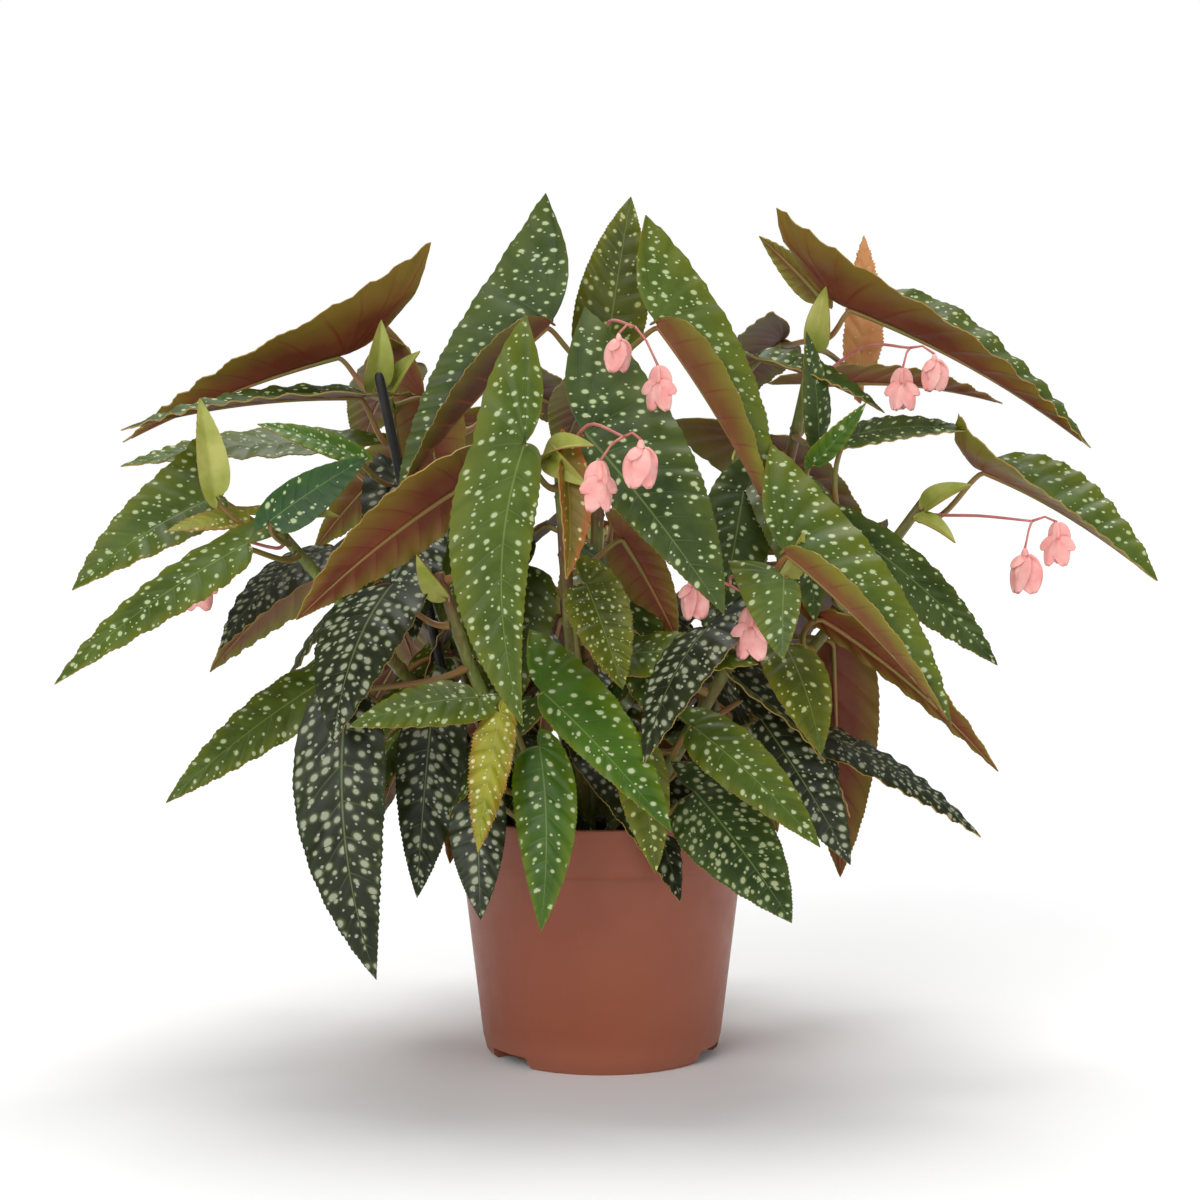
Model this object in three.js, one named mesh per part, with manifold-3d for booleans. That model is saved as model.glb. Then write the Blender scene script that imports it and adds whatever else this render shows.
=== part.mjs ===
// A potted angel-wing begonia: five branching canes in a nursery pot of potting mix, with
// spotted wing-shaped leaves on petioles, hanging flower clusters and one support stake.
// Millimetres, +Z up, origin at the centre of the pot's underside, front of the plant at -Y.
import * as THREE from 'three';
import { mergeVertices } from 'three/addons/utils/BufferGeometryUtils.js';
import Module from 'manifold-3d';

const wasm = await Module();
wasm.setup();

// ---- driving dimensions -------------------------------------------------------------------

const POT = {
  height: 132,
  rimRadius: 85,
  rimFootRadius: 80,
  rimBand: 26,
  bodyTopRadius: 76,
  baseRadius: 64.5,
  footRadius: 57,
  footRise: 10,
  wall: 1.6,
  floor: 2.4,
  sides: 40,
};
const DRAIN = { angles: [-52, 68, 188], halfWidth: 14, reach: 13, height: 6.5 };
const MIX = { gap: 0.5, top: 117, crown: 5 };
const STAKE = { radius: 2.6, foot: [-50, -6, 34], head: [-116, -38, 364], sides: 8 };
const CANE = { radius: 4, sides: 8, socketGap: 0.4, socketDepth: 26 };
const PETIOLE = { radius: 1.7, sides: 5, steps: 4, gap: 0.5, underBlade: 0.9 };
const BLADE = { thickness: 1.3, stations: [0, 0.2, 0.45, 0.7] };
const FLOWER = { stalkRadius: 1.1, stalkSides: 5, pedicelRadius: 0.9 };

// ---- materials ----------------------------------------------------------------------------

const finish = (color, roughness) => new THREE.MeshStandardMaterial({ color, roughness, metalness: 0 });
const FINISHES = {
  terracotta_plastic: finish('#9a5138', 0.55),
  potting_mix: finish('#1f1611', 0.95),
  black_plastic: finish('#14130f', 0.5),
  cane_green: finish('#7d8a3c', 0.5),
  leaf_dark: finish('#2f4327', 0.45),
  leaf_green: finish('#456d23', 0.42),
  leaf_bright: finish('#6b8f22', 0.42),
  leaf_bronze: finish('#7a6a24', 0.45),
  leaf_red_back: finish('#6d3a24', 0.5),
  petal_pink: finish('#eb9a9c', 0.5),
};

// ---- the canes: each is one plant, whose branches are polylines from the mix upwards --------

const CANES = {
  centre: [
    [[-8, -18, 92], [-12, -40, 170], [-18, -84, 260], [-22, -104, 328]],
    [[-8, -18, 92], [-6, -24, 200], [-2, -38, 300], [0, -52, 384]],
  ],
  left: [
    [[-38, 14, 92], [-70, 14, 190], [-104, 8, 290], [-118, -4, 374]],
    [[-38, 14, 92], [-62, 4, 150], [-124, -26, 228], [-172, -46, 288]],
  ],
  right: [
    [[36, 14, 92], [62, 18, 190], [96, 8, 300], [117, -4, 398]],
    [[36, 14, 92], [62, 10, 150], [122, -18, 232], [172, -30, 302]],
  ],
  front: [
    [[0, -46, 92], [28, -60, 150], [66, -86, 220], [92, -104, 272]],
    [[0, -46, 92], [-34, -54, 150], [-64, -68, 206], [-82, -82, 262]],
  ],
  back: [
    [[0, 46, 92], [-30, 70, 190], [-66, 104, 270], [-84, 120, 338]],
    [[0, 46, 92], [28, 74, 190], [62, 106, 260], [82, 124, 326]],
    [[0, 46, 92], [0, 84, 180], [2, 124, 236], [4, 150, 272]],
  ],
};

// ---- the leaves ---------------------------------------------------------------------------
// name, cane, branch, height of the node on the cane, where the blade meets its petiole, the
// blade's tip, the way its upper side faces, which side of the midrib is the broad half (+1 is
// on the right of someone who stands on the upper side and looks back from the tip), and:
//   broad, slim  half widths as shares of the length      lobe, hook   the back lobe: its
//   fold         degrees that the two halves rise         length, and degrees it leans over
//   arch, sweep  how far the midrib bows up and sideways   twist        degrees, base to tip
//   droop        how far the broad half's margin sinks, as a share of the length
const LEAVES = [
  // the crown, left to right
  ['top_left', 'left', 0, 352, [-138, 6, 375], [-254, -12, 328], [-0.1, -0.1, 1], 1,
    { finish: 'leaf_red_back', broad: 0.25, slim: 0.22, lobe: 0.68, hook: 44, fold: [58, 38], arch: 0.03 }],
  ['left_flat', 'left', 0, 328, [-124, -16, 352], [-247, -52, 334], [0, -0.1, 1], 1,
    { finish: 'leaf_dark', broad: 0.22, slim: 0.2, lobe: 0.2, fold: [20, 24], arch: 0.04 }],
  ['left_shade', 'left', 0, 300, [-149, 36, 328], [-260, 12, 315], [0, -0.4, 0.9], -1,
    { finish: 'leaf_green', broad: 0.26, slim: 0.18, lobe: 0.35, fold: [6, 6], arch: 0.04 }],
  ['left_tall', 'centre', 1, 366, [-26, -66, 388], [-102, -92, 300], [-0.25, -0.95, 0.4], -1,
    { finish: 'leaf_dark', broad: 0.34, slim: 0.17, lobe: 0.68, hook: 44, fold: [6, 118], arch: 0.06 }],
  ['upright', 'centre', 1, 350, [2, -34, 372], [15, -30, 455], [-0.1, -1, 0.1], 1,
    { finish: 'leaf_bronze', broad: 0.34, slim: 0.24, lobe: 0.25, arch: 0.03 }],
  ['right_curl', 'centre', 1, 372, [27, -72, 388], [86, -94, 286], [0.3, -0.95, 0.3], 1,
    { finish: 'leaf_green', broad: 0.33, slim: 0.19, lobe: 0.52, hook: 28, fold: [6, 120], arch: 0.06 }],
  ['top_right', 'right', 0, 384, [128, -8, 400], [255, -32, 325], [0.15, -0.1, 1], -1,
    { finish: 'leaf_red_back', broad: 0.23, slim: 0.34, lobe: 0.5, hook: 46, fold: [50, 40], arch: 0.04 }],
  ['right_shade', 'right', 0, 330, [120, 26, 360], [217, 18, 349], [0.1, 0.15, 1], -1,
    { finish: 'leaf_red_back', broad: 0.26, slim: 0.22, lobe: 0.3, fold: [32, 20], arch: 0.05 }],
  ['right_fold', 'right', 0, 310, [80, -38, 372], [146, -44, 343], [0.1, -0.3, 1], -1,
    { finish: 'leaf_dark', broad: 0.3, slim: 0.24, lobe: 0.3, fold: [20, 26], arch: 0.05 }],
  ['right_level', 'right', 1, 262, [124, -48, 330], [187, -60, 334], [0, -0.45, 0.9], -1,
    { finish: 'leaf_dark', broad: 0.34, slim: 0.26, lobe: 0.3, fold: [6, 6], arch: 0.06 }],
  // the shoulders
  ['left_mid', 'left', 1, 282, [-200, -24, 300], [-272, -58, 252], [-0.15, -0.6, 0.8], -1,
    { finish: 'leaf_green', broad: 0.32, slim: 0.26, lobe: 0.55, hook: 66, fold: [30, 4], arch: 0.06 }],
  ['left_long', 'left', 1, 270, [-178, -80, 277], [-269, -114, 209], [-0.2, -0.75, 0.75], -1,
    { finish: 'leaf_green', broad: 0.2, slim: 0.15, lobe: 0.47, hook: 4, arch: 0.05 }],
  ['red_back', 'front', 1, 258, [-70, -102, 306], [-148, -132, 242], [-0.35, 0.75, 0.65], 1,
    { finish: 'leaf_red_back', broad: 0.34, slim: 0.22, lobe: 0.3, hook: 10, arch: 0.04 }],
  ['right_wing', 'right', 1, 290, [196, -36, 314], [284, -62, 257], [0.05, -0.4, 0.95], -1,
    { finish: 'leaf_bright', broad: 0.2, slim: 0.36, lobe: 0.46, hook: 66, fold: [58, 16], arch: 0.05, twist: 20 }],
  ['right_behind', 'right', 1, 240, [130, -56, 280], [202, -66, 214], [0.25, -0.8, 0.6], 1,
    { finish: 'leaf_dark', broad: 0.26, slim: 0.22, lobe: 0.3, arch: 0.05 }],
  // the front
  ['front_long', 'centre', 0, 306, [-37, -132, 327], [-37, -176, 195], [0.1, -1, 0.2], -1,
    { finish: 'leaf_green', broad: 0.27, slim: 0.11, lobe: 0.5, sweep: 0.08, arch: 0.05 }],
  ['centre', 'centre', 0, 318, [-8, -116, 331], [58, -152, 246], [0.15, -1, 0.25], 1,
    { finish: 'leaf_dark', broad: 0.4, slim: 0.13, lobe: 0.68, hook: 35, arch: 0.07 }],
  ['right_front', 'front', 0, 262, [88, -124, 275], [166, -154, 193], [0.15, -0.9, 0.45], 1,
    { finish: 'leaf_green', broad: 0.33, slim: 0.15, lobe: 0.54, hook: 40, fold: [4, 110], arch: 0.07 }],
  ['small_front', 'front', 0, 238, [88, -128, 262], [86, -148, 224], [-0.2, -1, 0.2], -1,
    { finish: 'leaf_green', broad: 0.5, slim: 0.22, lobe: 0.72, hook: 66, arch: 0.06 }],
  ['bright_front', 'front', 0, 158, [-29, -125, 206], [33, -154, 142], [0.1, -0.85, 0.5], 1,
    { finish: 'leaf_bright', broad: 0.33, slim: 0.12, lobe: 0.4, hook: 32, arch: 0.07 }],
  ['hang_front', 'front', 1, 150, [-31, -110, 178], [-30, -132, 90], [-0.05, -1, 0.2], 1,
    { finish: 'leaf_bright', broad: 0.24, slim: 0.2, lobe: 0.1, sweep: 0.04, arch: 0.03, twist: 10 }],
  ['dark_inner', 'front', 0, 200, [8, -96, 222], [76, -124, 220], [0, -0.65, 0.75], -1,
    { finish: 'leaf_green', broad: 0.3, slim: 0.26, lobe: 0.2, arch: 0.06 }],
  ['green_side', 'front', 1, 176, [-60, -118, 203], [-121, -148, 192], [-0.05, -0.75, 0.65], 1,
    { finish: 'leaf_green', broad: 0.3, slim: 0.22, lobe: 0.2, arch: 0.07 }],
  // the skirt, left to right
  ['skirt_left', 'left', 1, 188, [-138, -34, 208], [-224, -64, 143], [-0.15, -0.8, 0.6], 1,
    { finish: 'leaf_green', broad: 0.22, slim: 0.18, lobe: 0.2, arch: 0.05 }],
  ['dark_left', 'left', 1, 236, [-144, 0, 272], [-199, -42, 220], [-0.35, -0.45, 0.8], 1,
    { finish: 'leaf_dark', broad: 0.34, slim: 0.3, lobe: 0.16, arch: 0.1 }],
  ['dark_shoulder', 'front', 1, 236, [-106, -78, 256], [-130, -136, 183], [-0.4, -0.8, 0.5], 1,
    { finish: 'leaf_dark', broad: 0.36, slim: 0.32, lobe: 0.3, arch: 0.1 }],
  ['hang_left', 'front', 1, 214, [-126, -106, 204], [-110, -132, 66], [-0.1, -1, 0.12], -1,
    { finish: 'leaf_dark', broad: 0.25, slim: 0.17, lobe: 0.1, sweep: 0.05, arch: 0.05 }],
  ['hang_inner', 'front', 1, 150, [-86, -72, 196], [-93, -94, 99], [-0.05, -1, 0.2], 1,
    { finish: 'leaf_dark', broad: 0.27, slim: 0.18, lobe: 0.2, arch: 0.05 }],
  ['skirt_low', 'front', 1, 132, [-62, -90, 152], [-60, -114, 92], [-0.1, -1, 0.2], 1,
    { finish: 'leaf_dark', broad: 0.3, slim: 0.26, lobe: 0.3, arch: 0.05 }],
  ['skirt_spotted', 'front', 0, 136, [46, -100, 154], [92, -136, 95], [0.15, -0.85, 0.5], 1,
    { finish: 'leaf_dark', broad: 0.4, slim: 0.32, lobe: 0.25, arch: 0.05 }],
  ['skirt_green', 'front', 0, 168, [44, -108, 188], [105, -142, 133], [0.15, -0.85, 0.5], 1,
    { finish: 'leaf_green', broad: 0.28, slim: 0.18, lobe: 0.14, arch: 0.06 }],
  ['skirt_dark', 'front', 0, 180, [80, -78, 188], [124, -100, 117], [0.25, -0.9, 0.35], 1,
    { finish: 'leaf_dark', broad: 0.32, slim: 0.22, lobe: 0.3, arch: 0.05 }],
  ['skirt_right', 'right', 1, 176, [96, -48, 184], [195, -62, 125], [0.35, -0.35, 0.9], -1,
    { finish: 'leaf_dark', broad: 0.22, slim: 0.2, lobe: 0.3, arch: 0.06 }],
  ['skirt_olive', 'right', 1, 206, [92, -84, 226], [108, -112, 174], [0.3, -0.8, 0.5], -1,
    { finish: 'leaf_bronze', broad: 0.4, slim: 0.3, lobe: 0.2, arch: 0.08 }],
  ['purple_right', 'right', 1, 218, [110, -66, 240], [200, -84, 162], [0.35, 0.6, 0.7], 1,
    { finish: 'leaf_red_back', broad: 0.16, slim: 0.14, lobe: 0.2, fold: [20, 20], arch: 0.05 }],
  ['red_hanging', 'right', 0, 226, [124, -4, 222], [127, -18, 96], [0.15, 1, 0.15], -1,
    { finish: 'leaf_red_back', broad: 0.26, slim: 0.2, lobe: 0.15, fold: [8, 20], arch: 0.04 }],
  // the back
  ['back_tall_left', 'back', 0, 320, [-96, 142, 340], [-176, 176, 262], [-0.3, 0.85, 0.5], -1,
    { finish: 'leaf_green', broad: 0.3, slim: 0.18, lobe: 0.52, hook: 40, arch: 0.08 }],
  ['back_tall_right', 'back', 1, 310, [96, 148, 330], [172, 186, 250], [0.35, 0.85, 0.45], 1,
    { finish: 'leaf_dark', broad: 0.3, slim: 0.18, lobe: 0.52, hook: 36, arch: 0.08 }],
  ['back_centre', 'back', 2, 262, [4, 176, 280], [-28, 208, 166], [0, 1, 0.25], -1,
    { finish: 'leaf_green', broad: 0.27, slim: 0.18, lobe: 0.5, hook: 28, arch: 0.07 }],
  ['back_crown', 'back', 0, 334, [-62, 134, 364], [14, 176, 322], [0.1, 0.75, 0.7], -1,
    { finish: 'leaf_dark', broad: 0.28, slim: 0.18, lobe: 0.5, hook: 36, arch: 0.08 }],
  ['back_low_left', 'back', 0, 224, [-88, 124, 244], [-146, 162, 156], [-0.35, 0.85, 0.35], 1,
    { finish: 'leaf_dark', broad: 0.3, slim: 0.2, lobe: 0.25, arch: 0.07 }],
  ['back_low_right', 'back', 1, 216, [86, 128, 236], [140, 168, 144], [0.35, 0.85, 0.35], 1,
    { finish: 'leaf_dark', broad: 0.3, slim: 0.2, lobe: 0.25, arch: 0.07 }],
  ['back_skirt', 'back', 2, 170, [22, 116, 186], [58, 144, 98], [0.1, 1, 0.2], 1,
    { finish: 'leaf_green', broad: 0.32, slim: 0.24, lobe: 0.2, arch: 0.05 }],
  ['back_wing_left', 'left', 0, 250, [-140, 62, 268], [-226, 92, 196], [-0.5, 0.6, 0.65], -1,
    { finish: 'leaf_green', broad: 0.3, slim: 0.2, lobe: 0.4, hook: 24, arch: 0.07 }],
  ['back_wing_right', 'right', 0, 262, [134, 60, 280], [222, 90, 206], [0.5, 0.6, 0.65], 1,
    { finish: 'leaf_bronze', broad: 0.3, slim: 0.2, lobe: 0.4, hook: 24, arch: 0.07 }],
];

// Leaves that are still one with their cane, the same columns: young leaves and shoot tips,
// then the dark leaves that fill the inside and the back of the plant.
const SHOOTS = [
  ['young_left', 'left', 1, 284, [-182, -52, 291], [-220, -72, 283], [-0.1, -0.6, 0.8], -1,
    { broad: 0.3, slim: 0.26, lobe: 0.5 }],
  ['young_orange', 'centre', 0, 318, [-18, -126, 318], [-17, -142, 262], [0.9, -0.5, 0.1], 1,
    { broad: 0.16, slim: 0.14, lobe: 0.1 }],
  ['young_peak', 'right', 0, 390, [118, 6, 404], [84, 8, 438], [0.3, 1, 0.5], 1,
    { broad: 0.24, slim: 0.2, lobe: 0.15 }],
  ['young_copper', 'right', 0, 378, [144, 52, 368], [146, 62, 443], [0.2, -1, 0.1], 1,
    { broad: 0.18, slim: 0.16, lobe: 0.25 }],
  ['young_spear', 'right', 1, 252, [106, -74, 316], [131, -92, 347], [0.5, -0.8, 0.3], 1,
    { broad: 0.22, slim: 0.16, lobe: 0.1 }],
  ['young_yellow', 'front', 1, 160, [-50, -122, 196], [-60, -140, 130], [-0.1, -1, 0.2], 1,
    { broad: 0.22, slim: 0.2, lobe: 0.12 }],
  ['young_crinkled', 'front', 0, 150, [-6, -104, 252], [6, -128, 212], [0.3, -1, 0.3], 1,
    { broad: 0.26, slim: 0.22, lobe: 0.2 }],
  ['young_back', 'back', 2, 268, [8, 146, 300], [28, 160, 340], [0, 1, 0.3], 1,
    { broad: 0.24, slim: 0.2, lobe: 0.15 }],
  ['inner_red', 'centre', 0, 262, [10, -82, 280], [38, -76, 228], [0.3, 0.8, 0.4], -1,
    { broad: 0.36, slim: 0.3, lobe: 0.3 }],
  ['inner_left', 'left', 0, 262, [-70, -28, 290], [-62, -66, 214], [-0.2, -0.9, 0.4], 1,
    { broad: 0.34, slim: 0.28, lobe: 0.3 }],
  ['inner_right', 'right', 0, 270, [74, -30, 302], [60, -66, 236], [0.1, -0.9, 0.4], -1,
    { broad: 0.34, slim: 0.28, lobe: 0.3 }],
  ['inner_shade', 'centre', 1, 240, [-40, -8, 262], [-58, -34, 170], [-0.2, -0.9, 0.3], -1,
    { broad: 0.32, slim: 0.24, lobe: 0.2 }],
  ['left_skirt_back', 'left', 0, 176, [-84, 40, 192], [-128, 60, 110], [-0.8, 0.5, 0.4], 1,
    { broad: 0.3, slim: 0.22, lobe: 0.25, arch: 0.07 }],
  ['right_skirt_back', 'right', 0, 168, [84, 44, 186], [122, 68, 106], [0.8, 0.5, 0.35], -1,
    { broad: 0.3, slim: 0.22, lobe: 0.25, arch: 0.07 }],
  ['left_side', 'left', 0, 216, [-112, 22, 236], [-196, 28, 168], [-0.6, -0.05, 0.8], -1,
    { broad: 0.28, slim: 0.22, lobe: 0.3, arch: 0.07 }],
  ['left_back_top', 'left', 0, 342, [-108, 44, 372], [-142, 126, 322], [-0.3, 0.6, 0.8], 1,
    { broad: 0.3, slim: 0.2, lobe: 0.45, hook: 30, arch: 0.07 }],
  ['right_back_top', 'right', 0, 380, [100, 40, 384], [70, 120, 344], [0, 0.65, 0.8], 1,
    { broad: 0.3, slim: 0.2, lobe: 0.45, hook: 30, arch: 0.07 }],
  ['crown_back', 'centre', 1, 346, [-2, 16, 360], [-24, 92, 318], [-0.1, 0.6, 0.8], 1,
    { broad: 0.3, slim: 0.22, lobe: 0.4, hook: 20, arch: 0.07 }],
  ['back_fill_left', 'back', 0, 176, [-52, 100, 198], [-86, 134, 116], [-0.35, 1, 0.3], 1,
    { broad: 0.3, slim: 0.22, lobe: 0.2, arch: 0.07 }],
  ['back_fill_right', 'back', 1, 170, [66, 92, 178], [104, 122, 98], [0.5, 0.9, 0.3], -1,
    { broad: 0.3, slim: 0.22, lobe: 0.2, arch: 0.07 }],
  ['back_fill_centre', 'back', 2, 208, [-24, 136, 226], [-40, 172, 138], [-0.15, 1, 0.3], -1,
    { broad: 0.3, slim: 0.24, lobe: 0.25, arch: 0.07 }],
];

// ---- the flower clusters: stalk from the cane, then the blossoms that hang on it ------------
// name, cane, branch, height on the cane, stalk points after the cane, [blossom centre, radius]
const CLUSTERS = [
  ['flowers_centre', 'centre', 0, 324, [[-6, -134, 336], [10, -156, 330]],
    [[[-1, -160, 306], 12], [[18, -164, 316], 12]]],
  ['flowers_upper', 'centre', 1, 378, [[4, -84, 388], [16, -104, 384]],
    [[[8, -108, 370], 10], [[27, -118, 353], 11]]],
  ['flowers_right_high', 'right', 0, 364, [[138, -24, 378], [158, -48, 376]],
    [[[154, -52, 354], 11], [[170, -54, 362], 10]]],
  ['flowers_right_low', 'right', 1, 294, [[194, -60, 290], [216, -80, 288]],
    [[[212, -84, 262], 12], [[228, -84, 276], 11]]],
  ['flowers_left_low', 'left', 1, 276, [[-196, -40, 278], [-208, -44, 272]],
    [[[-209, -46, 252], 12]]],
  ['flowers_front_right', 'front', 0, 256, [[64, -112, 262], [62, -124, 258]],
    [[[44, -118, 250], 11], [[72, -124, 234], 13]]],
  ['flowers_back', 'back', 2, 266, [[36, 152, 290], [52, 168, 288]],
    [[[50, 172, 264], 11], [[66, 174, 274], 10]]],
];

// ---- solids from three.js geometry ----------------------------------------------------------

const vec = (p) => new THREE.Vector3(...p);

function solidOf(geometry) {
  const bare = geometry.clone();
  bare.deleteAttribute('normal');
  bare.deleteAttribute('uv');
  const merged = mergeVertices(bare, 1e-4);
  return new wasm.Manifold(new wasm.Mesh({
    numProp: 3,
    vertProperties: new Float32Array(merged.attributes.position.array),
    triVerts: new Uint32Array(merged.index.array),
  }));
}

function geometryOf(solid) {
  const mesh = solid.getMesh();
  const geometry = new THREE.BufferGeometry();
  geometry.setAttribute('position', new THREE.BufferAttribute(mesh.vertProperties, 3));
  geometry.setIndex(new THREE.BufferAttribute(mesh.triVerts, 1));
  geometry.computeVertexNormals();
  return geometry;
}

function roundSection(radius, sides) {
  const corners = [];
  for (let i = 0; i < sides; i++) {
    const angle = (2 * Math.PI * i) / sides;
    corners.push(new THREE.Vector2(radius * Math.cos(angle), radius * Math.sin(angle)));
  }
  return new THREE.Shape(corners);
}

function tube(path, radius, sides, steps) {
  const settings = { extrudePath: path, steps, bevelEnabled: false };
  return solidOf(new THREE.ExtrudeGeometry(roundSection(radius, sides), settings));
}

function lathe(profile, sides) {
  const points = profile.map(([r, z]) => new THREE.Vector2(r, z));
  return solidOf(new THREE.LatheGeometry(points, sides).rotateX(Math.PI / 2));
}

function named(name, solid, finishName) {
  const mesh = new THREE.Mesh(geometryOf(solid), FINISHES[finishName]);
  mesh.name = name;
  return mesh;
}

// ---- pot, mix and stake ---------------------------------------------------------------------

function makePot() {
  const { height, rimRadius, rimFootRadius, rimBand, bodyTopRadius, baseRadius } = POT;
  const { footRadius, footRise, wall, floor, sides } = POT;
  const bandFoot = height - rimBand;
  const shell = lathe([
    [0, 0],
    [footRadius, 0],
    [baseRadius - 2.5, 3],
    [baseRadius, footRise],
    [bodyTopRadius, bandFoot],
    [rimFootRadius, bandFoot],
    [rimRadius, height],
    [rimRadius - wall, height],
    [rimFootRadius - wall, bandFoot + wall],
    [bodyTopRadius - wall, bandFoot],
    [baseRadius - wall, footRise + wall],
    [baseRadius - 2.5 - wall, 3 + wall],
    [footRadius - wall, floor],
    [0, floor],
  ], sides);
  return DRAIN.angles.reduce((pot, angle) => pot.subtract(drainCut(angle)), shell);
}

function drainCut(angle) {
  const width = 2 * POT.baseRadius * Math.sin(THREE.MathUtils.degToRad(DRAIN.halfWidth));
  const outline = new THREE.Shape([
    new THREE.Vector2(-width / 2 - 3, -1),
    new THREE.Vector2(width / 2 + 3, -1),
    new THREE.Vector2(width / 2 - 3, DRAIN.height),
    new THREE.Vector2(-width / 2 + 3, DRAIN.height),
  ]);
  const depth = DRAIN.reach + 10;
  const block = new THREE.ExtrudeGeometry(outline, { depth, bevelEnabled: false });
  block.rotateX(Math.PI / 2);
  block.translate(0, -(POT.baseRadius - DRAIN.reach), 0);
  block.rotateZ(THREE.MathUtils.degToRad(angle));
  return solidOf(block);
}

function makeMix(rooted) {
  const inset = POT.wall + MIX.gap;
  const { rimFootRadius, rimRadius, rimBand, height, bodyTopRadius, baseRadius } = POT;
  const bandFoot = height - rimBand;
  const rimSlope = (rimRadius - rimFootRadius) / rimBand;
  const topRadius = rimFootRadius + rimSlope * (MIX.top - bandFoot) - inset;
  const mix = lathe([
    [0, POT.floor + MIX.gap],
    [POT.footRadius - inset, POT.floor + MIX.gap],
    [baseRadius - 2.5 - inset, 3 + inset],
    [baseRadius - inset, POT.footRise + inset],
    [bodyTopRadius - inset, bandFoot],
    [rimFootRadius - inset - 1, bandFoot + inset + 1],
    [topRadius, MIX.top],
    [topRadius * 0.6, MIX.top + MIX.crown * 0.7],
    [0, MIX.top + MIX.crown],
  ], POT.sides);
  return rooted.reduce((left, root) => left.subtract(root), mix);
}

function stakeTube(extraRadius, extraDepth) {
  const foot = vec(STAKE.foot);
  const head = vec(STAKE.head);
  const down = foot.clone().sub(head).normalize();
  const path = new THREE.LineCurve3(foot.addScaledVector(down, extraDepth), head);
  return tube(path, STAKE.radius + extraRadius, STAKE.sides, 1);
}

// ---- canes ----------------------------------------------------------------------------------

const branchPath = (points) => new THREE.CatmullRomCurve3(points.map(vec), false, 'centripetal');

const BRANCHES = Object.fromEntries(
  Object.entries(CANES).map(([cane, branches]) => [cane, branches.map(branchPath)]),
);

function makeCane(cane, extraRadius = 0) {
  const tubes = BRANCHES[cane].map((path) => tube(path, CANE.radius + extraRadius, CANE.sides, 9));
  return tubes.reduce((whole, part) => whole.add(part));
}

// The point of a branch at a height, and the way that the branch leaves it.
function nodeOn(cane, branch, height) {
  const path = BRANCHES[cane][branch];
  const samples = 200;
  let best = 0;
  for (let i = 0; i <= samples; i++) {
    const off = Math.abs(path.getPoint(i / samples).z - height);
    if (off < Math.abs(path.getPoint(best).z - height)) best = i / samples;
  }
  return { at: path.getPoint(best), along: path.getTangent(best) };
}

// Where a stalk starts, beside the cane on the side that faces its goal, and which way it leaves.
function besideCane(node, goal, gap) {
  const out = goal.clone().sub(node.at);
  out.addScaledVector(node.along, -out.dot(node.along)).normalize();
  return { start: node.at.clone().addScaledVector(out, CANE.radius + gap), out };
}

// ---- leaves ---------------------------------------------------------------------------------

// The flat outline of a blade of length 1: base at the origin, tip at (1, 0), broad half at +y.
function outline({ broad, slim, lobe, hook = 0 }) {
  const lean = THREE.MathUtils.degToRad(hook);
  const back = new THREE.Vector2(-Math.cos(lean), Math.sin(lean)).multiplyScalar(lobe);
  const aside = new THREE.Vector2(-Math.sin(lean), -Math.cos(lean)).multiplyScalar(lobe);
  const at = (along, out) => back.clone().multiplyScalar(along).addScaledVector(aside, out);
  const origin = new THREE.Vector2(0, 0);
  const tip = new THREE.Vector2(1, 0);
  return {
    inner: new THREE.CubicBezierCurve(origin, at(0.35, 0.24), at(0.7, 0.08), back),
    outer: new THREE.CubicBezierCurve(
      back,
      new THREE.Vector2(-0.05, 1.15 * broad),
      new THREE.Vector2(0.64, 0.72 * broad),
      tip,
    ),
    slim: new THREE.CubicBezierCurve(
      origin,
      new THREE.Vector2(-0.02, -1.45 * slim),
      new THREE.Vector2(0.6, -0.9 * slim),
      tip,
    ),
  };
}

// Rays from the midrib to the margin, as the side veins run, in order from sinus to tip.
function raysOf(shape) {
  const rays = { broad: [], slim: [] };
  const ray = (x, edge) => ({ foot: new THREE.Vector2(x, 0), edge });
  rays.broad.push(ray(0, shape.inner.getPoint(0.55)));
  rays.broad.push(ray(0, shape.inner.getPoint(1)));
  rays.broad.push(ray(0, shape.outer.getPoint(0.18)));
  for (const x of BLADE.stations) {
    rays.broad.push(ray(x, shape.outer.getPoint(0.35 + 0.65 * x ** 0.75)));
    rays.slim.push(ray(x, shape.slim.getPoint(0.2 + 0.8 * x ** 0.75)));
  }
  return rays;
}

// Carries flat blade points into place: bowed along the midrib, folded at it and twisted.
function bladePlacer(base, tip, face, side, form) {
  const { fold = [0, 0], arch = 0.04, sweep = 0, twist = 0, droop = 0.04, broad } = form;
  const chord = tip.clone().sub(base);
  const length = chord.length();
  const along = chord.clone().normalize();
  const up = face.clone().addScaledVector(along, -face.dot(along)).normalize();
  return (flat) => {
    const bow = flat.x < 0 ? 0 : 4 * flat.x * (1 - flat.x);
    const lie = arch * (flat.x < 0 ? 2 * flat.x : bow) - droop * Math.min((flat.y / broad) ** 2, 1);
    const roll = THREE.MathUtils.degToRad(twist * flat.x);
    const n = up.clone().applyAxisAngle(along, roll);
    const w = n.clone().cross(along).multiplyScalar(side);
    const rise = THREE.MathUtils.degToRad(flat.y >= 0 ? fold[0] : fold[1]);
    const out = flat.x < 0 && flat.y < 0 ? 0 : rise;
    return base.clone()
      .addScaledVector(chord, flat.x)
      .addScaledVector(n, length * (lie + Math.abs(flat.y) * Math.sin(out)))
      .addScaledVector(w, length * (sweep * bow + flat.y * Math.cos(out)));
  };
}

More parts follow.
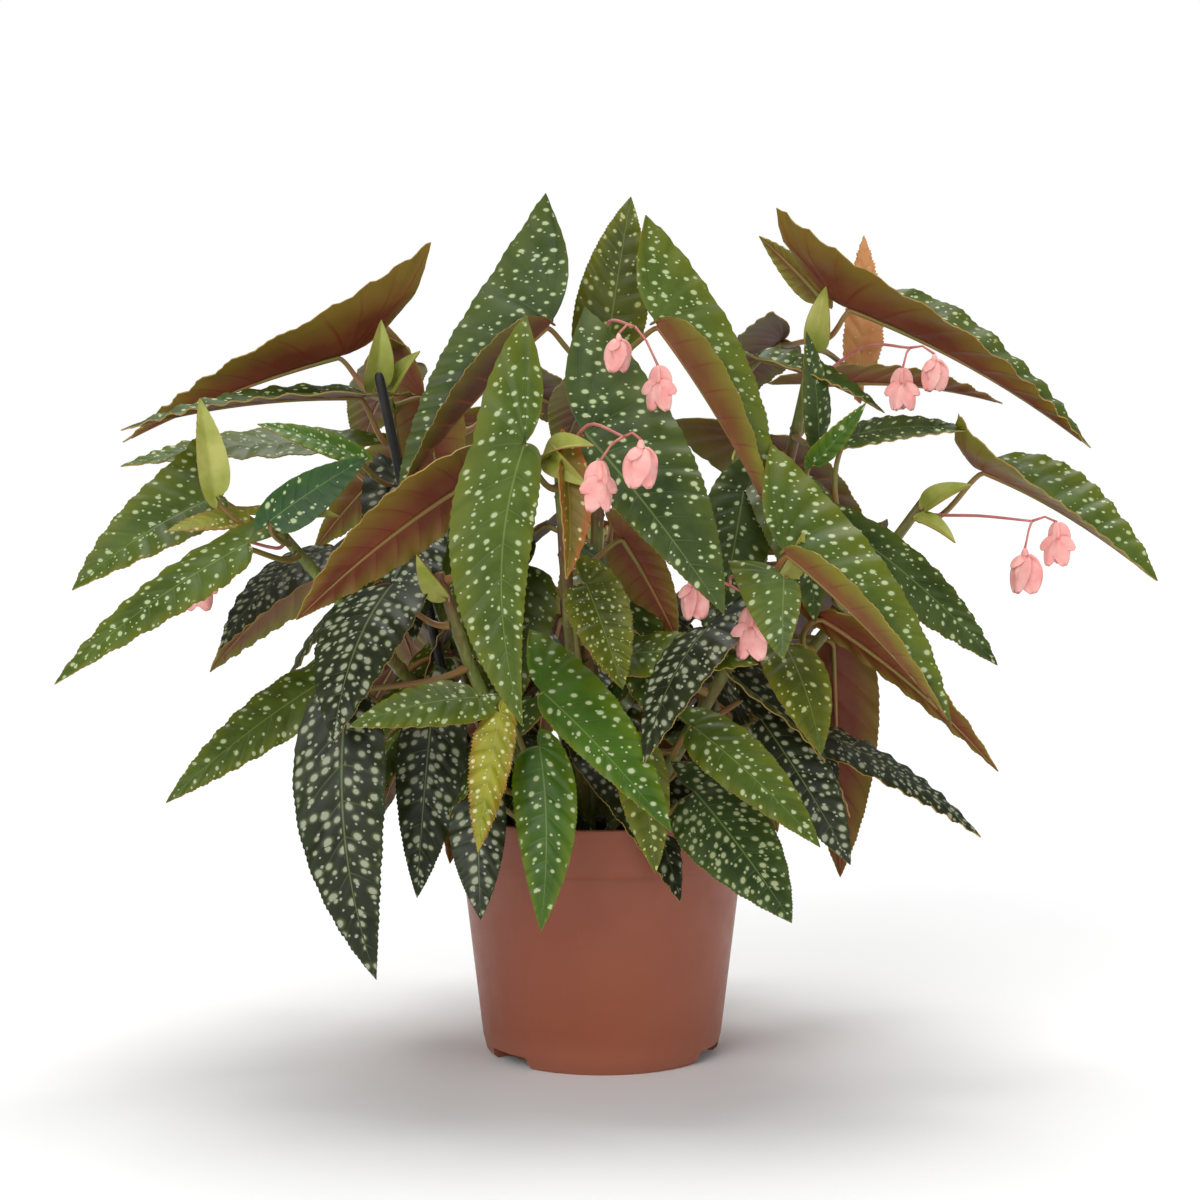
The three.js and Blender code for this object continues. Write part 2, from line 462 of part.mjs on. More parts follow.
// A blade as a thin closed solid: two skins that meet at the margin.
function makeBlade(place, form) {
  const rays = raysOf(outline(form));
  const points = [];
  const rim = new Set();
  const faces = [];
  const add = (flat, onRim) => {
    points.push(place(flat));
    if (onRim) rim.add(points.length - 1);
    return points.length - 1;
  };
  const base = add(new THREE.Vector2(0, 0), true);
  const tip = add(new THREE.Vector2(1, 0), true);
  const midrib = BLADE.stations.map((x) => (x === 0 ? base : add(new THREE.Vector2(x, 0), false)));
  for (const half of ['broad', 'slim']) {
    const turn = half === 'broad' ? 1 : -1;
    const face = (a, b, c) => faces.push(turn > 0 ? [a, b, c] : [a, c, b]);
    const spine = rays[half].map(({ foot }) => midrib[BLADE.stations.indexOf(foot.x)]);
    const middle = rays[half].map(({ foot, edge }, i) => add(foot.clone().lerp(edge, 0.5), i === 0));
    const edges = rays[half].map(({ edge }) => add(edge, true));
    for (let i = 0; i + 1 < spine.length; i++) {
      if (spine[i] !== spine[i + 1]) face(spine[i], spine[i + 1], middle[i]);
      face(spine[i + 1], middle[i + 1], middle[i]);
      face(middle[i], middle[i + 1], edges[i]);
      face(middle[i + 1], edges[i + 1], edges[i]);
    }
    face(spine.at(-1), tip, middle.at(-1));
    face(middle.at(-1), tip, edges.at(-1));
  }
  return thickened(points, faces, rim);
}

function thickened(points, faces, rim) {
  const normals = points.map(() => new THREE.Vector3());
  for (const [a, b, c] of faces) {
    const across = points[b].clone().sub(points[a]).cross(points[c].clone().sub(points[a]));
    for (const corner of [a, b, c]) normals[corner].add(across);
  }
  const skin = (way) => points.map((p, i) => {
    const offset = rim.has(i) ? 0 : (way * BLADE.thickness) / 2;
    return p.clone().addScaledVector(normals[i].clone().normalize(), offset);
  });
  const upper = skin(1);
  const lower = skin(-1);
  const corners = [];
  for (const [a, b, c] of faces) corners.push(upper[a], upper[b], upper[c]);
  for (const [a, b, c] of faces) corners.push(lower[a], lower[c], lower[b]);
  const solid = solidOf(new THREE.BufferGeometry().setFromPoints(corners));
  return solid.volume() < 0 ? solidOf(new THREE.BufferGeometry().setFromPoints(corners.reverse())) : solid;
}

// A petiole leaves the cane squarely and runs on under the first stretch of the midrib.
function makePetiole({ start, out }, place, face) {
  const base = place(new THREE.Vector2(0, 0));
  const ahead = place(new THREE.Vector2(0.1, 0));
  const along = ahead.clone().sub(base).normalize();
  const up = face.clone().addScaledVector(along, -face.dot(along)).normalize();
  const end = base.clone().lerp(ahead, 0.8).addScaledVector(up, -PETIOLE.underBlade);
  const reach = base.distanceTo(start);
  const leaving = start.clone().addScaledVector(out, 0.4 * reach);
  const arriving = end.clone().addScaledVector(along, -0.2 * reach).addScaledVector(up, -0.15 * reach);
  const path = new THREE.CubicBezierCurve3(start, leaving, arriving, end);
  return tube(path, PETIOLE.radius, PETIOLE.sides, PETIOLE.steps);
}

function makeLeaf([, cane, branch, height, basePoint, tipPoint, facing, side, form], joined) {
  const [base, tip, face] = [vec(basePoint), vec(tipPoint), vec(facing)];
  const place = bladePlacer(base, tip, face, side, form);
  const root = besideCane(nodeOn(cane, branch, height), base, joined ? -CANE.radius : PETIOLE.gap);
  return makeBlade(place, form).add(makePetiole(root, place, face));
}

// ---- flowers --------------------------------------------------------------------------------

function makeCluster([, cane, branch, height, stalk, blossoms]) {
  const route = stalk.map(vec);
  const root = besideCane(nodeOn(cane, branch, height), route[0], PETIOLE.gap);
  route.unshift(root.start, root.start.clone().addScaledVector(root.out, 4));
  const path = new THREE.CatmullRomCurve3(route, false, 'centripetal');
  let cluster = tube(path, FLOWER.stalkRadius, FLOWER.stalkSides, 5);
  for (const [centre, radius] of blossoms) {
    const middle = vec(centre);
    const ball = new THREE.SphereGeometry(radius, 8, 5).scale(0.9, 0.7, 1.1);
    ball.rotateX(Math.PI / 2).translate(...centre);
    const pedicel = new THREE.LineCurve3(route.at(-1), middle);
    cluster = cluster.add(solidOf(ball));
    cluster = cluster.add(tube(pedicel, FLOWER.pedicelRadius, FLOWER.stalkSides, 1));
  }
  return cluster;
}

// ---- the plant ------------------------------------------------------------------------------

function makeShootedCane(cane) {
  const shoots = SHOOTS.filter((row) => row[1] === cane).map((row) => makeLeaf(row, true));
  return shoots.reduce((whole, shoot) => whole.add(shoot), makeCane(cane));
}

const begonia = new THREE.Group();
const container = new THREE.Group();
const plant = new THREE.Group();
begonia.add(container, plant);

const sockets = Object.keys(CANES).map((cane) => makeCane(cane, CANE.socketGap));
container.add(named('pot', makePot(), 'terracotta_plastic'));
container.add(named('potting_mix', makeMix([...sockets, stakeTube(0.4, 1)]), 'potting_mix'));
container.add(named('support_stake', stakeTube(0, 0), 'black_plastic'));

for (const cane of Object.keys(CANES)) {
  plant.add(named(`cane_${cane}`, makeShootedCane(cane), 'cane_green'));
}
for (const row of LEAVES) {
  plant.add(named(`leaf_${row[0]}`, makeLeaf(row, false), row.at(-1).finish));
}
for (const row of CLUSTERS) {
  plant.add(named(row[0], makeCluster(row), 'petal_pink'));
}

export default begonia;
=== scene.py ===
# %% [markdown]
# # A potted angel-wing begonia
# The plant has five branching canes in a nursery pot. Its leaves are lopsided wings with
# silver spots above and red undersides, and pink flower clusters hang between them. The sizes
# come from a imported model, and each step below replaces some of its plain solids with a
# detailed piece in the same place.

# %% The frame
import math
import random

import bmesh
import bpy
from mathutils import Matrix, Quaternion, Vector


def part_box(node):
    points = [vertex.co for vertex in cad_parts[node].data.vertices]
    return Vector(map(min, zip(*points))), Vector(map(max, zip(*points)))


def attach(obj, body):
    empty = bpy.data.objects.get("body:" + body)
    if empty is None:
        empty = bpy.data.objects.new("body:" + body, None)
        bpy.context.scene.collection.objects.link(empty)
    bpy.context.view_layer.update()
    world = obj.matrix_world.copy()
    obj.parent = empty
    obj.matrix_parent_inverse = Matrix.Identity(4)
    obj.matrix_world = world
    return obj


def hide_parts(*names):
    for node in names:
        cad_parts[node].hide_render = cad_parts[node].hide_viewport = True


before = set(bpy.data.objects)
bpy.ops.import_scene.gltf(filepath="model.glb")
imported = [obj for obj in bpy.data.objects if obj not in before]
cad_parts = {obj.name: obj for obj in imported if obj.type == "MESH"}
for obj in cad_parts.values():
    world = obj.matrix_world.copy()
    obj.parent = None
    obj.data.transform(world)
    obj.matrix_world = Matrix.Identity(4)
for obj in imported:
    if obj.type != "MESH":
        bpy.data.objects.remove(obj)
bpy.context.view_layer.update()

# %% [markdown]
# ## Camera, floor and light
# The camera stands back with a long lens, a little above the middle of the plant, so that
# leaves at the front and at the back keep their true sizes. A matte white floor under a white
# sky gives the seamless look of a plant catalogue. The sky alone would be flat, so three
# large soft lamps add shape: one high at the left, one at the right and one overhead.

# %% Camera
EYE = Vector((-0.0011, -1.300, 0.325))
LENS_MM = 72.8
LOOKING_DOWN = 3.6

scene = bpy.context.scene
lens = bpy.data.cameras.new("studio_camera")
lens.lens = LENS_MM
lens.sensor_width = 36
camera = bpy.data.objects.new("studio_camera", lens)
camera.location = EYE
camera.rotation_euler = (math.radians(90 - LOOKING_DOWN), 0, 0)
scene.collection.objects.link(camera)
scene.camera = camera
scene.view_settings.view_transform = "Standard"
print("camera at", tuple(EYE), "lens", LENS_MM)


# %% Node helpers
def srgb(code):
    """A hex colour as the linear RGBA that shaders take."""
    parts = [int(code[i:i + 2], 16) / 255 for i in (0, 2, 4)]
    return tuple(p / 12.92 if p <= 0.04045 else ((p + 0.055) / 1.055) ** 2.4 for p in parts) + (1,)


def put(tree, kind, sockets=None, **settings):
    """Adds a node, sets its options, and fills its sockets with values or links."""
    node = tree.nodes.new(kind)
    for key, value in settings.items():
        setattr(node, key, value)
    for key, value in (sockets or {}).items():
        if isinstance(value, bpy.types.NodeSocket):
            tree.links.new(value, node.inputs[key])
        else:
            node.inputs[key].default_value = value
    return node


def sums(tree, operation, a, b=0.0, c=0.0):
    """One step of arithmetic on up to three values."""
    return put(tree, "ShaderNodeMath", {0: a, 1: b, 2: c}, operation=operation).outputs[0]


def fade(tree, value, start, end, low=0.0, high=1.0):
    """Maps a value from start..end to low..high and holds it outside."""
    sockets = {"Value": value, "From Min": start, "From Max": end, "To Min": low, "To Max": high}
    return put(tree, "ShaderNodeMapRange", sockets, clamp=True).outputs[0]


def mixed(tree, amount, a, b):
    """A blend of two colours, all the second one where the amount is 1."""
    node = put(tree, "ShaderNodeMix", {0: amount, 6: a, 7: b}, data_type="RGBA")
    return node.outputs[2]


def noise(tree, vector, scale, detail=3.0, roughness=0.5):
    """A fractal noise value, with its scale in waves per metre."""
    sockets = {"Vector": vector, "Scale": scale, "Detail": detail, "Roughness": roughness}
    return put(tree, "ShaderNodeTexNoise", sockets).outputs["Fac"]


def bump(tree, height, strength, distance):
    """A normal from a height, whose full range is the distance in metres."""
    sockets = {"Height": height, "Strength": strength, "Distance": distance}
    return put(tree, "ShaderNodeBump", sockets).outputs[0]


def new_material(name):
    """An empty node material, its tree, its object coordinates and its main shader."""
    made = bpy.data.materials.new(name)
    made.use_nodes = True
    tree = made.node_tree
    shader = tree.nodes["Principled BSDF"]
    place = put(tree, "ShaderNodeTexCoord").outputs["Object"]
    return made, tree, place, shader


def wire(tree, shader, **links):
    """Links sockets to the shader: an underscore in a key stands for a space."""
    for key, socket in links.items():
        tree.links.new(socket, shader.inputs[key.replace("_", " ")])


# %% Sky and floor
SKY_SEEN = 1.0
SKY_LIGHT = 0.26

world = bpy.data.worlds.new("studio_sky")
scene.world = world
world.use_nodes = True
sky = world.node_tree.nodes["Background"]
sky.inputs["Color"].default_value = (1, 1, 1, 1)
seen = put(world.node_tree, "ShaderNodeLightPath").outputs["Is Camera Ray"]
brightness = fade(world.node_tree, seen, 0, 1, SKY_LIGHT, SKY_SEEN)
world.node_tree.links.new(brightness, sky.inputs["Strength"])

floor_paint, tree, place, shader = new_material("floor_paint")
wire(tree, shader, Base_Color=mixed(tree, noise(tree, place, 3), srgb("f1f1f1"), srgb("f7f7f7")))
shader.inputs["Roughness"].default_value = 0.9
shader.inputs["Specular IOR Level"].default_value = 0.1


def mesh_object(name, bm, materials, smooth=True):
    """Turns a finished bmesh into an object at the origin with its materials."""
    for face in bm.faces:
        face.smooth = smooth
    mesh = bpy.data.meshes.new(name)
    bm.to_mesh(mesh)
    bm.free()
    for material in materials:
        mesh.materials.append(material)
    made = bpy.data.objects.new(name, mesh)
    scene.collection.objects.link(made)
    return made


bm = bmesh.new()
bmesh.ops.create_grid(bm, x_segments=1, y_segments=1, size=20)
floor = mesh_object("studio_floor", bm, [floor_paint], smooth=False)
print("floor half width 20 m")


# %% Soft lamps
def lamp(name, goal_from, softness, strength):
    """A far lamp: the direction it shines from, how wide it looks in degrees, and its strength."""
    light = bpy.data.lights.new(name, "SUN")
    light.angle, light.energy = math.radians(softness), strength
    made = bpy.data.objects.new(name, light)
    made.rotation_euler = Vector(goal_from).to_track_quat("Z", "Y").to_euler()
    scene.collection.objects.link(made)


lamp("lamp_above", (0.03, 0.32, 1.0), 42, 2.3)
lamp("lamp_left", (-0.7, -1.3, 0.9), 40, 1.35)
lamp("lamp_right", (1.1, -1.1, 0.4), 50, 0.7)
print("3 lamps")

# %% [markdown]
# ## The pot
# A nursery pot is injection moulded in thin terracotta-coloured plastic, so it is smooth, a
# little satiny, and marked by handling. It could be a cone with a thicker cone on top. The
# outline is drawn once instead and spun round the middle, as on a lathe, because that gives
# the wall, the floor and the rim band one continuous skin. Three wedges cut the drain notches.

# %% Shapes on a lathe
def spun(bm, outline, steps):
    """Spins an outline of (radius, height) in millimetres round the Z axis."""
    corners = [bm.verts.new((r / 1000, 0, z / 1000)) for r, z in outline]
    lines = [bm.edges.new(pair) for pair in zip(corners, corners[1:])]
    bmesh.ops.spin(bm, geom=corners + lines, cent=(0, 0, 0), axis=(0, 0, 1),
                   angle=2 * math.pi, steps=steps, use_merge=True)
    bmesh.ops.remove_doubles(bm, verts=bm.verts, dist=1e-5)
    bmesh.ops.dissolve_degenerate(bm, edges=bm.edges, dist=1e-6)
    bmesh.ops.recalc_face_normals(bm, faces=bm.faces)


def modified(piece):
    """Applies every modifier of a piece and returns it."""
    graph = bpy.context.evaluated_depsgraph_get()
    mesh = bpy.data.meshes.new_from_object(piece.evaluated_get(graph))
    piece.modifiers.clear()
    piece.data = mesh
    return piece


def shaded_by_angle(piece, degrees):
    """Smooth shading that still keeps edges sharper than an angle."""
    piece.data.set_sharp_from_angle(angle=math.radians(degrees))


# %% The plastic of the pot
terracotta, tree, place, shader = new_material("terracotta_plastic")
clouds = noise(tree, place, 14, 5)
body_colour = mixed(tree, fade(tree, clouds, 0.35, 0.7), srgb("8f4a32"), srgb("975238"))
stretch = put(tree, "ShaderNodeMapping", {"Vector": place, "Scale": (60, 60, 6)}).outputs[0]
scuffs = fade(tree, noise(tree, stretch, 3, 8, 0.7), 0.62, 0.8, 0, 0.35)
height = put(tree, "ShaderNodeSeparateXYZ", {0: place}).outputs["Z"]
splashes = sums(tree, "ADD", height, sums(tree, "MULTIPLY", clouds, 0.02))
dust = fade(tree, splashes, 0.03, 0.006, 0, 0.3)
worn = mixed(tree, sums(tree, "MAXIMUM", scuffs, dust), body_colour, srgb("b97a5c"))
wire(tree, shader, Base_Color=worn,
     Roughness=fade(tree, noise(tree, place, 90, 4), 0.3, 0.7, 0.40, 0.52),
     Normal=bump(tree, noise(tree, place, 900, 2), 0.10, 0.0002))
print("pot plastic ready")

# %% The pot's wall and rim
BAND_FOOT = 106
POT_OUTLINE = [
    (0, 1.0), (52, 1.0), (55, 0), (60, 0), (62.6, 2.4), (64.5, 10), (75.6, 103.4), (76, BAND_FOOT),
    (79.4, BAND_FOOT), (80.1, BAND_FOOT + 0.9), (80.5, 109), (83.9, 127.2), (84.9, 129.2),
    (84.9, 131.4), (84.1, 132), (83.2, 131.9), (82.9, 130.6), (79.1, 109), (78.2, BAND_FOOT + 1.8),
    (75.6, BAND_FOOT), (74.4, 104), (63.0, 12), (61.2, 5), (56, 2.4), (0, 2.4),
]
DRAIN_ANGLES = (-52, 68, 188)

bm = bmesh.new()
spun(bm, POT_OUTLINE, 120)
pot = mesh_object("nursery_pot", bm, [terracotta])
print("pot faces", len(pot.data.polygons))


# %% The drain notches
WEDGE_SIZE, WEDGE_PLACE = (0.036, 0.023, 0.015), (0, -0.0630, -0.0010)


def drain_wedge(angle):
    """A block that is narrower at its top, standing in the wall at an angle from the front."""
    bm = bmesh.new()
    bmesh.ops.create_cube(bm, size=1)
    upper = [v for v in bm.verts if v.co.z > 0]
    bmesh.ops.scale(bm, vec=(0.8, 1, 1), verts=upper)
    bmesh.ops.scale(bm, vec=WEDGE_SIZE, verts=bm.verts)
    bmesh.ops.translate(bm, vec=WEDGE_PLACE, verts=bm.verts)
    upright = [e for e in bm.edges if abs(e.verts[0].co.z - e.verts[1].co.z) > 0.01]
    top = [e for e in bm.edges if min(v.co.z for v in e.verts) > 0]
    bmesh.ops.bevel(bm, geom=upright + top, offset=0.0016, segments=3, profile=0.5,
                    affect="EDGES", material=-1)
    bmesh.ops.rotate(bm, matrix=Matrix.Rotation(math.radians(angle), 3, "Z"), verts=bm.verts)
    return mesh_object("drain_wedge", bm, [])


wedges = [drain_wedge(angle) for angle in DRAIN_ANGLES]
for wedge in wedges:
    cut = pot.modifiers.new("notch", "BOOLEAN")
    cut.object, cut.operation, cut.solver = wedge, "DIFFERENCE", "EXACT"
modified(pot)
for wedge in wedges:
    bpy.data.objects.remove(wedge)
for _ in pot.data.materials[1:]:
    pot.data.materials.pop()
shaded_by_angle(pot, 34)
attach(pot, "root")
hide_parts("pot")
print("pot box", [round(v, 4) for v in pot.dimensions], "notches", len(DRAIN_ANGLES))

# %% [markdown]
# ## The potting mix
# Peat and bark fill the pot to a finger's width below its edge. The bulk is one lathed plug
# whose top is raised and lowered at random, and some hundreds of small broken lumps lie on it.
# Each lump is a crushed icosphere of twenty faces, because there are so many of them.

# %% Peat and crumbs
peat, tree, place, shader = new_material("potting_mix")
grain = noise(tree, place, 320, 8, 0.7)
flecks = fade(tree, noise(tree, place, 700, 3), 0.66, 0.74, 0, 1)
soil = mixed(tree, fade(tree, grain, 0.3, 0.75), srgb("0e0b08"), srgb("35281d"))
wire(tree, shader, Base_Color=mixed(tree, flecks, soil, srgb("6b543c")),
     Normal=bump(tree, grain, 0.8, 0.002))
shader.inputs["Roughness"].default_value = 0.95

MIX_OUTLINE = [(0, 3.2), (54.5, 3.2), (60, 6), (62.3, 13), (73.6, 105), (77, 108.5), (78.4, 117.2)]
MIX_TOP = [(76.8, 117.6), (72, 118), (66, 118.4), (60, 118.8), (53, 119.3), (46, 119.8),
           (39, 120.2), (32, 120.6), (25, 121), (18, 121.4), (11, 121.7), (5, 122), (0, 122)]
MIX_PEAK, MIX_SLOPE, MIX_EDGE = 0.1213, 0.06, 0.1174
MIX_REACH, MIX_UNEVEN = 0.0765, (-0.0016, 0.0008)
CRUMBS, CRUMB_REACH, CRUMB_RADII, NEAR_WALL = 620, 0.074, (0.0009, 0.0028), 0.07

bm = bmesh.new()
spun(bm, MIX_OUTLINE + MIX_TOP, 90)
chance = random.Random(7)
for vert in bm.verts:
    if vert.co.z > MIX_EDGE and vert.co.xy.length < MIX_REACH:
        vert.co.z += chance.uniform(*MIX_UNEVEN)
for _ in range(CRUMBS):
    reach, turn = CRUMB_REACH * math.sqrt(chance.random()), chance.uniform(0, 2 * math.pi)
    size = chance.uniform(*CRUMB_RADII) * (0.6 if reach > NEAR_WALL else 1)
    spot = Vector((reach * math.cos(turn), reach * math.sin(turn), MIX_PEAK - MIX_SLOPE * reach))
    long, flat = chance.uniform(0.7, 1.6), chance.uniform(0.5, 0.9)
    squash = Matrix.Diagonal((size * long, size, size * flat, 1))
    turned, tipped = chance.uniform(0, 6.28), chance.uniform(0, 1)
    spin = Matrix.Rotation(turned, 4, "Z") @ Matrix.Rotation(tipped, 4, "X")
    bmesh.ops.create_icosphere(bm, subdivisions=1, radius=1,
                               matrix=Matrix.Translation(spot) @ spin @ squash)
mix = mesh_object("potting_mix_surface", bm, [peat], smooth=False)
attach(mix, "root")
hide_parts("potting_mix")
print("mix faces", len(mix.data.polygons))

# %% [markdown]
# ## Tubes along a path
# Canes, petioles, flower stalks and the support stake are all round rods that taper and bend.
# A curve object with a round bevel would do, but a swept ring in bmesh can thicken at each
# node and can share one mesh with a blade. The ring is extruded along the path, and each new
# ring is turned just enough to stay square to the path, so the rod never twists.

# %% Sweeping a ring
def ring_frame(spot, facing, across, radius):
    """The matrix that sets a unit circle square to a path, at a radius."""
    turned = Matrix((across, facing.cross(across), facing)).transposed() * radius
    return Matrix.Translation(spot) @ turned.to_4x4()


def sweep(bm, points, radii, sides, material=0):
    """A closed rod along some points, with a radius at each one."""
    ways = [(b - a).normalized() for a, b in zip(points, points[1:])]
    facings = [ways[0]] + [(a + b).normalized() for a, b in zip(ways, ways[1:])] + [ways[-1]]
    across = facings[0].orthogonal().normalized()
    last = ring_frame(points[0], facings[0], across, radii[0])
    ring = bmesh.ops.create_circle(bm, segments=sides, radius=1, matrix=last)["verts"]
    edges = list({edge for vert in ring for edge in vert.link_edges})
    first_end, faces = edges, []
    for i in range(1, len(points)):
        across = (facings[i - 1].rotation_difference(facings[i]) @ across).normalized()
        across = (across - facings[i] * across.dot(facings[i])).normalized()
        target = ring_frame(points[i], facings[i], across, radii[i])
        made = bmesh.ops.extrude_edge_only(bm, edges=edges)["geom"]
        ring = [e for e in made if isinstance(e, bmesh.types.BMVert)]
        edges = [e for e in made if isinstance(e, bmesh.types.BMEdge)
                 and all(vert in ring for vert in e.verts)]
        faces += [e for e in made if isinstance(e, bmesh.types.BMFace)]
        bmesh.ops.transform(bm, matrix=target @ last.inverted(), verts=ring)
        last = target
    for end in (first_end, edges):
        faces += bmesh.ops.contextual_create(bm, geom=end)["faces"]
    bmesh.ops.recalc_face_normals(bm, faces=faces)
    for face in faces:
        face.material_index = material
    return faces


# %% The support stake
black, tree, place, shader = new_material("black_plastic")
wire(tree, shader,
     Base_Color=mixed(tree, noise(tree, place, 60, 4), srgb("0f0e0c"), srgb("1d1b18")),
     Roughness=fade(tree, noise(tree, place, 200), 0.3, 0.7, 0.35, 0.6))
STAKE_FOOT, STAKE_HEAD = Vector((-0.050, -0.006, 0.034)), Vector((-0.116, -0.038, 0.3638))
STAKE_SHARES = (0, 0.4, 0.8, 0.985, 0.993, 0.998, 1.0)
STAKE_RADII = (0.0024, 0.0026, 0.0026, 0.0026, 0.0024, 0.0018, 0.0008)
bm = bmesh.new()
sweep(bm, [STAKE_FOOT.lerp(STAKE_HEAD, s) for s in STAKE_SHARES], STAKE_RADII, 24)
stake = mesh_object("support_rod", bm, [black])
shaded_by_angle(stake, 50)
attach(stake, "root")
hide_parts("support_stake")
print("stake length", round((STAKE_HEAD - STAKE_FOOT).length, 3))

# %% [markdown]
# ## The canes
# An angel-wing begonia stands on jointed, bamboo-like canes. Each cane here forks once or
# twice where it leaves the mix. The leaves hide most of it, so it runs as a smooth curve
# through a few likely points. It thins towards its tip, and at each joint it swells into a
# ring where a leaf once sat.

# %% A smooth route through points
def metres(point):
    """A point given in millimetres, in metres."""
    return Vector(point) / 1000


def route(points):
    """A curve that passes through every point without overshooting, as a function of 0 to 1."""
    knots = [metres(p) for p in points]
    knots = [2 * knots[0] - knots[1]] + knots + [2 * knots[-1] - knots[-2]]
    gaps = [math.sqrt((b - a).length) for a, b in zip(knots, knots[1:])]

    def at(share):
        place = share * (len(knots) - 3)
        i = min(int(place), len(knots) - 4)
        t = place - i
        (a, b, c, d), (e, f, g) = knots[i:i + 4], gaps[i:i + 3]
        out = ((b - a) / e - (c - a) / (e + f) + (c - b) / f) * f
        into = ((c - b) / f - (d - b) / (f + g) + (d - c) / g) * f
        square, cube = 3 * (c - b) - 2 * out - into, 2 * (b - c) + out + into
        return b + out * t + square * t * t + cube * t ** 3

    return at


CANES = {
    "centre": [[(-8, -18, 92), (-12, -40, 170), (-18, -84, 260), (-22, -104, 328)],
               [(-8, -18, 92), (-6, -24, 200), (-2, -38, 300), (0, -52, 384)]],
    "left": [[(-38, 14, 92), (-70, 14, 190), (-104, 8, 290), (-118, -4, 374)],
             [(-38, 14, 92), (-62, 4, 150), (-124, -26, 228), (-172, -46, 288)]],
    "right": [[(36, 14, 92), (62, 18, 190), (96, 8, 300), (117, -4, 398)],
              [(36, 14, 92), (62, 10, 150), (122, -18, 232), (172, -30, 302)]],
    "front": [[(0, -46, 92), (28, -60, 150), (66, -86, 220), (92, -104, 272)],
              [(0, -46, 92), (-34, -54, 150), (-64, -68, 206), (-82, -82, 262)]],
    "back": [[(0, 46, 92), (-30, 70, 190), (-66, 104, 270), (-84, 120, 338)],
             [(0, 46, 92), (28, 74, 190), (62, 106, 260), (82, 124, 326)],
             [(0, 46, 92), (0, 84, 180), (2, 124, 236), (4, 150, 272)]],
}
CANE_RADIUS = 0.004
HEIGHT_TRIES = 200
ROUTES = {cane: [route(points) for points in branches] for cane, branches in CANES.items()}


def node_on(cane, branch, height):
    """The point of a branch at a height, and the way that the branch runs there."""
    at = ROUTES[cane][branch]
    tries = (i / HEIGHT_TRIES for i in range(HEIGHT_TRIES + 1))
    share = min(tries, key=lambda s: abs(at(s).z - height / 1000))
    low, high = max(share - 0.01, 0), min(share + 0.01, 1)
    return at(share), (at(high) - at(low)).normalized()


print("branches", sum(len(b) for b in ROUTES.values()))

# %% Cane bark
cane_bark, tree, place, shader = new_material("cane_green")
stretch = put(tree, "ShaderNodeMapping", {"Vector": place, "Scale": (1, 1, 0.15)}).outputs[0]
streaks = noise(tree, stretch, 420, 4, 0.6)
patches = fade(tree, noise(tree, place, 22, 4), 0.40, 0.62)
green = mixed(tree, fade(tree, streaks, 0.3, 0.7), srgb("55681f"), srgb("8b9646"))
bark = mixed(tree, patches, green, srgb("6b4a26"))
pores = put(tree, "ShaderNodeTexVoronoi", {"Vector": stretch, "Scale": 330.0}).outputs["Distance"]
bark = mixed(tree, fade(tree, pores, 0.16, 0.08, 0, 0.7), bark, srgb("b9b083"))
wire(tree, shader, Base_Color=bark, Roughness=fade(tree, streaks, 0.3, 0.7, 0.38, 0.55),
     Normal=bump(tree, streaks, 0.25, 0.0004))
print("cane bark ready")

# %% Canes with joints
JOINT_EVERY = 0.034
JOINT_SWELL = 0.0007
JOINT_RINGS, JOINT_CREST, JOINT_LENGTH = (0.02, 0.05, 0.09), 0.05, 0.028
CANE_STEPS, CANE_SIDES = 36, 14
CANE_STOUT, CANE_THINS = 1.08, 0.42


def cane_rod(bm, at):
    """One branch: a rod that thins upwards and swells into a ring at each joint."""
    length = sum((at((i + 1) / 40) - at(i / 40)).length for i in range(40))
    joints = max(int(length / JOINT_EVERY), 1)
    steps = {i / CANE_STEPS for i in range(CANE_STEPS + 1)}
    swellings = {min((j + d) / joints, 1) for j in range(joints + 1) for d in JOINT_RINGS}
    marks = sorted(steps | swellings)
    radii = []
    for mark in marks:
        beyond = (mark * joints) % 1
        ring = math.exp(-((beyond - JOINT_CREST) / JOINT_LENGTH) ** 2)
        radii.append(CANE_RADIUS * (CANE_STOUT - CANE_THINS * mark) + JOINT_SWELL * ring)
    sweep(bm, [at(mark) for mark in marks], radii, CANE_SIDES)


for cane, branches in ROUTES.items():
    bm = bmesh.new()
    for at in branches:
        cane_rod(bm, at)
    piece = mesh_object(f"cane_rods_{cane}", bm, [cane_bark])
    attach(piece, "root")
    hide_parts(f"cane_{cane}")
    print(piece.name, len(piece.data.polygons), "faces")

# %% [markdown]
# ## Leaf surfaces
# The upper side is dark and glossy, with pale veins and silver spots in rows between them.
# The spots are little blisters of air under the skin, so they are rounder near the midrib and
# longer towards the margin, and no two are the same size. A picture texture would repeat, so
# two Voronoi layers draw the spots: every cell gets one spot, and the cell's random colour
# sets its radius, or leaves it out. They read a UV map that leans along the side veins. A
# wider and fainter copy of the first layer is the pale halo round each spot.

# %% Reading the ribs from a UV map
def rib_map(tree):
    """How far the nearest side vein is, and how far out to the margin, from the rib map."""
    rib_uv = put(tree, "ShaderNodeUVMap", uv_map="ribs").outputs[0]
    ribs = put(tree, "ShaderNodeSeparateXYZ", {0: rib_uv})
    phase = sums(tree, "FRACT", sums(tree, "ADD", ribs.outputs[0], 0.5))
    vein = sums(tree, "ABSOLUTE", sums(tree, "SUBTRACT", phase, 0.5))
    out = sums(tree, "ABSOLUTE", ribs.outputs[1])
    return vein, out


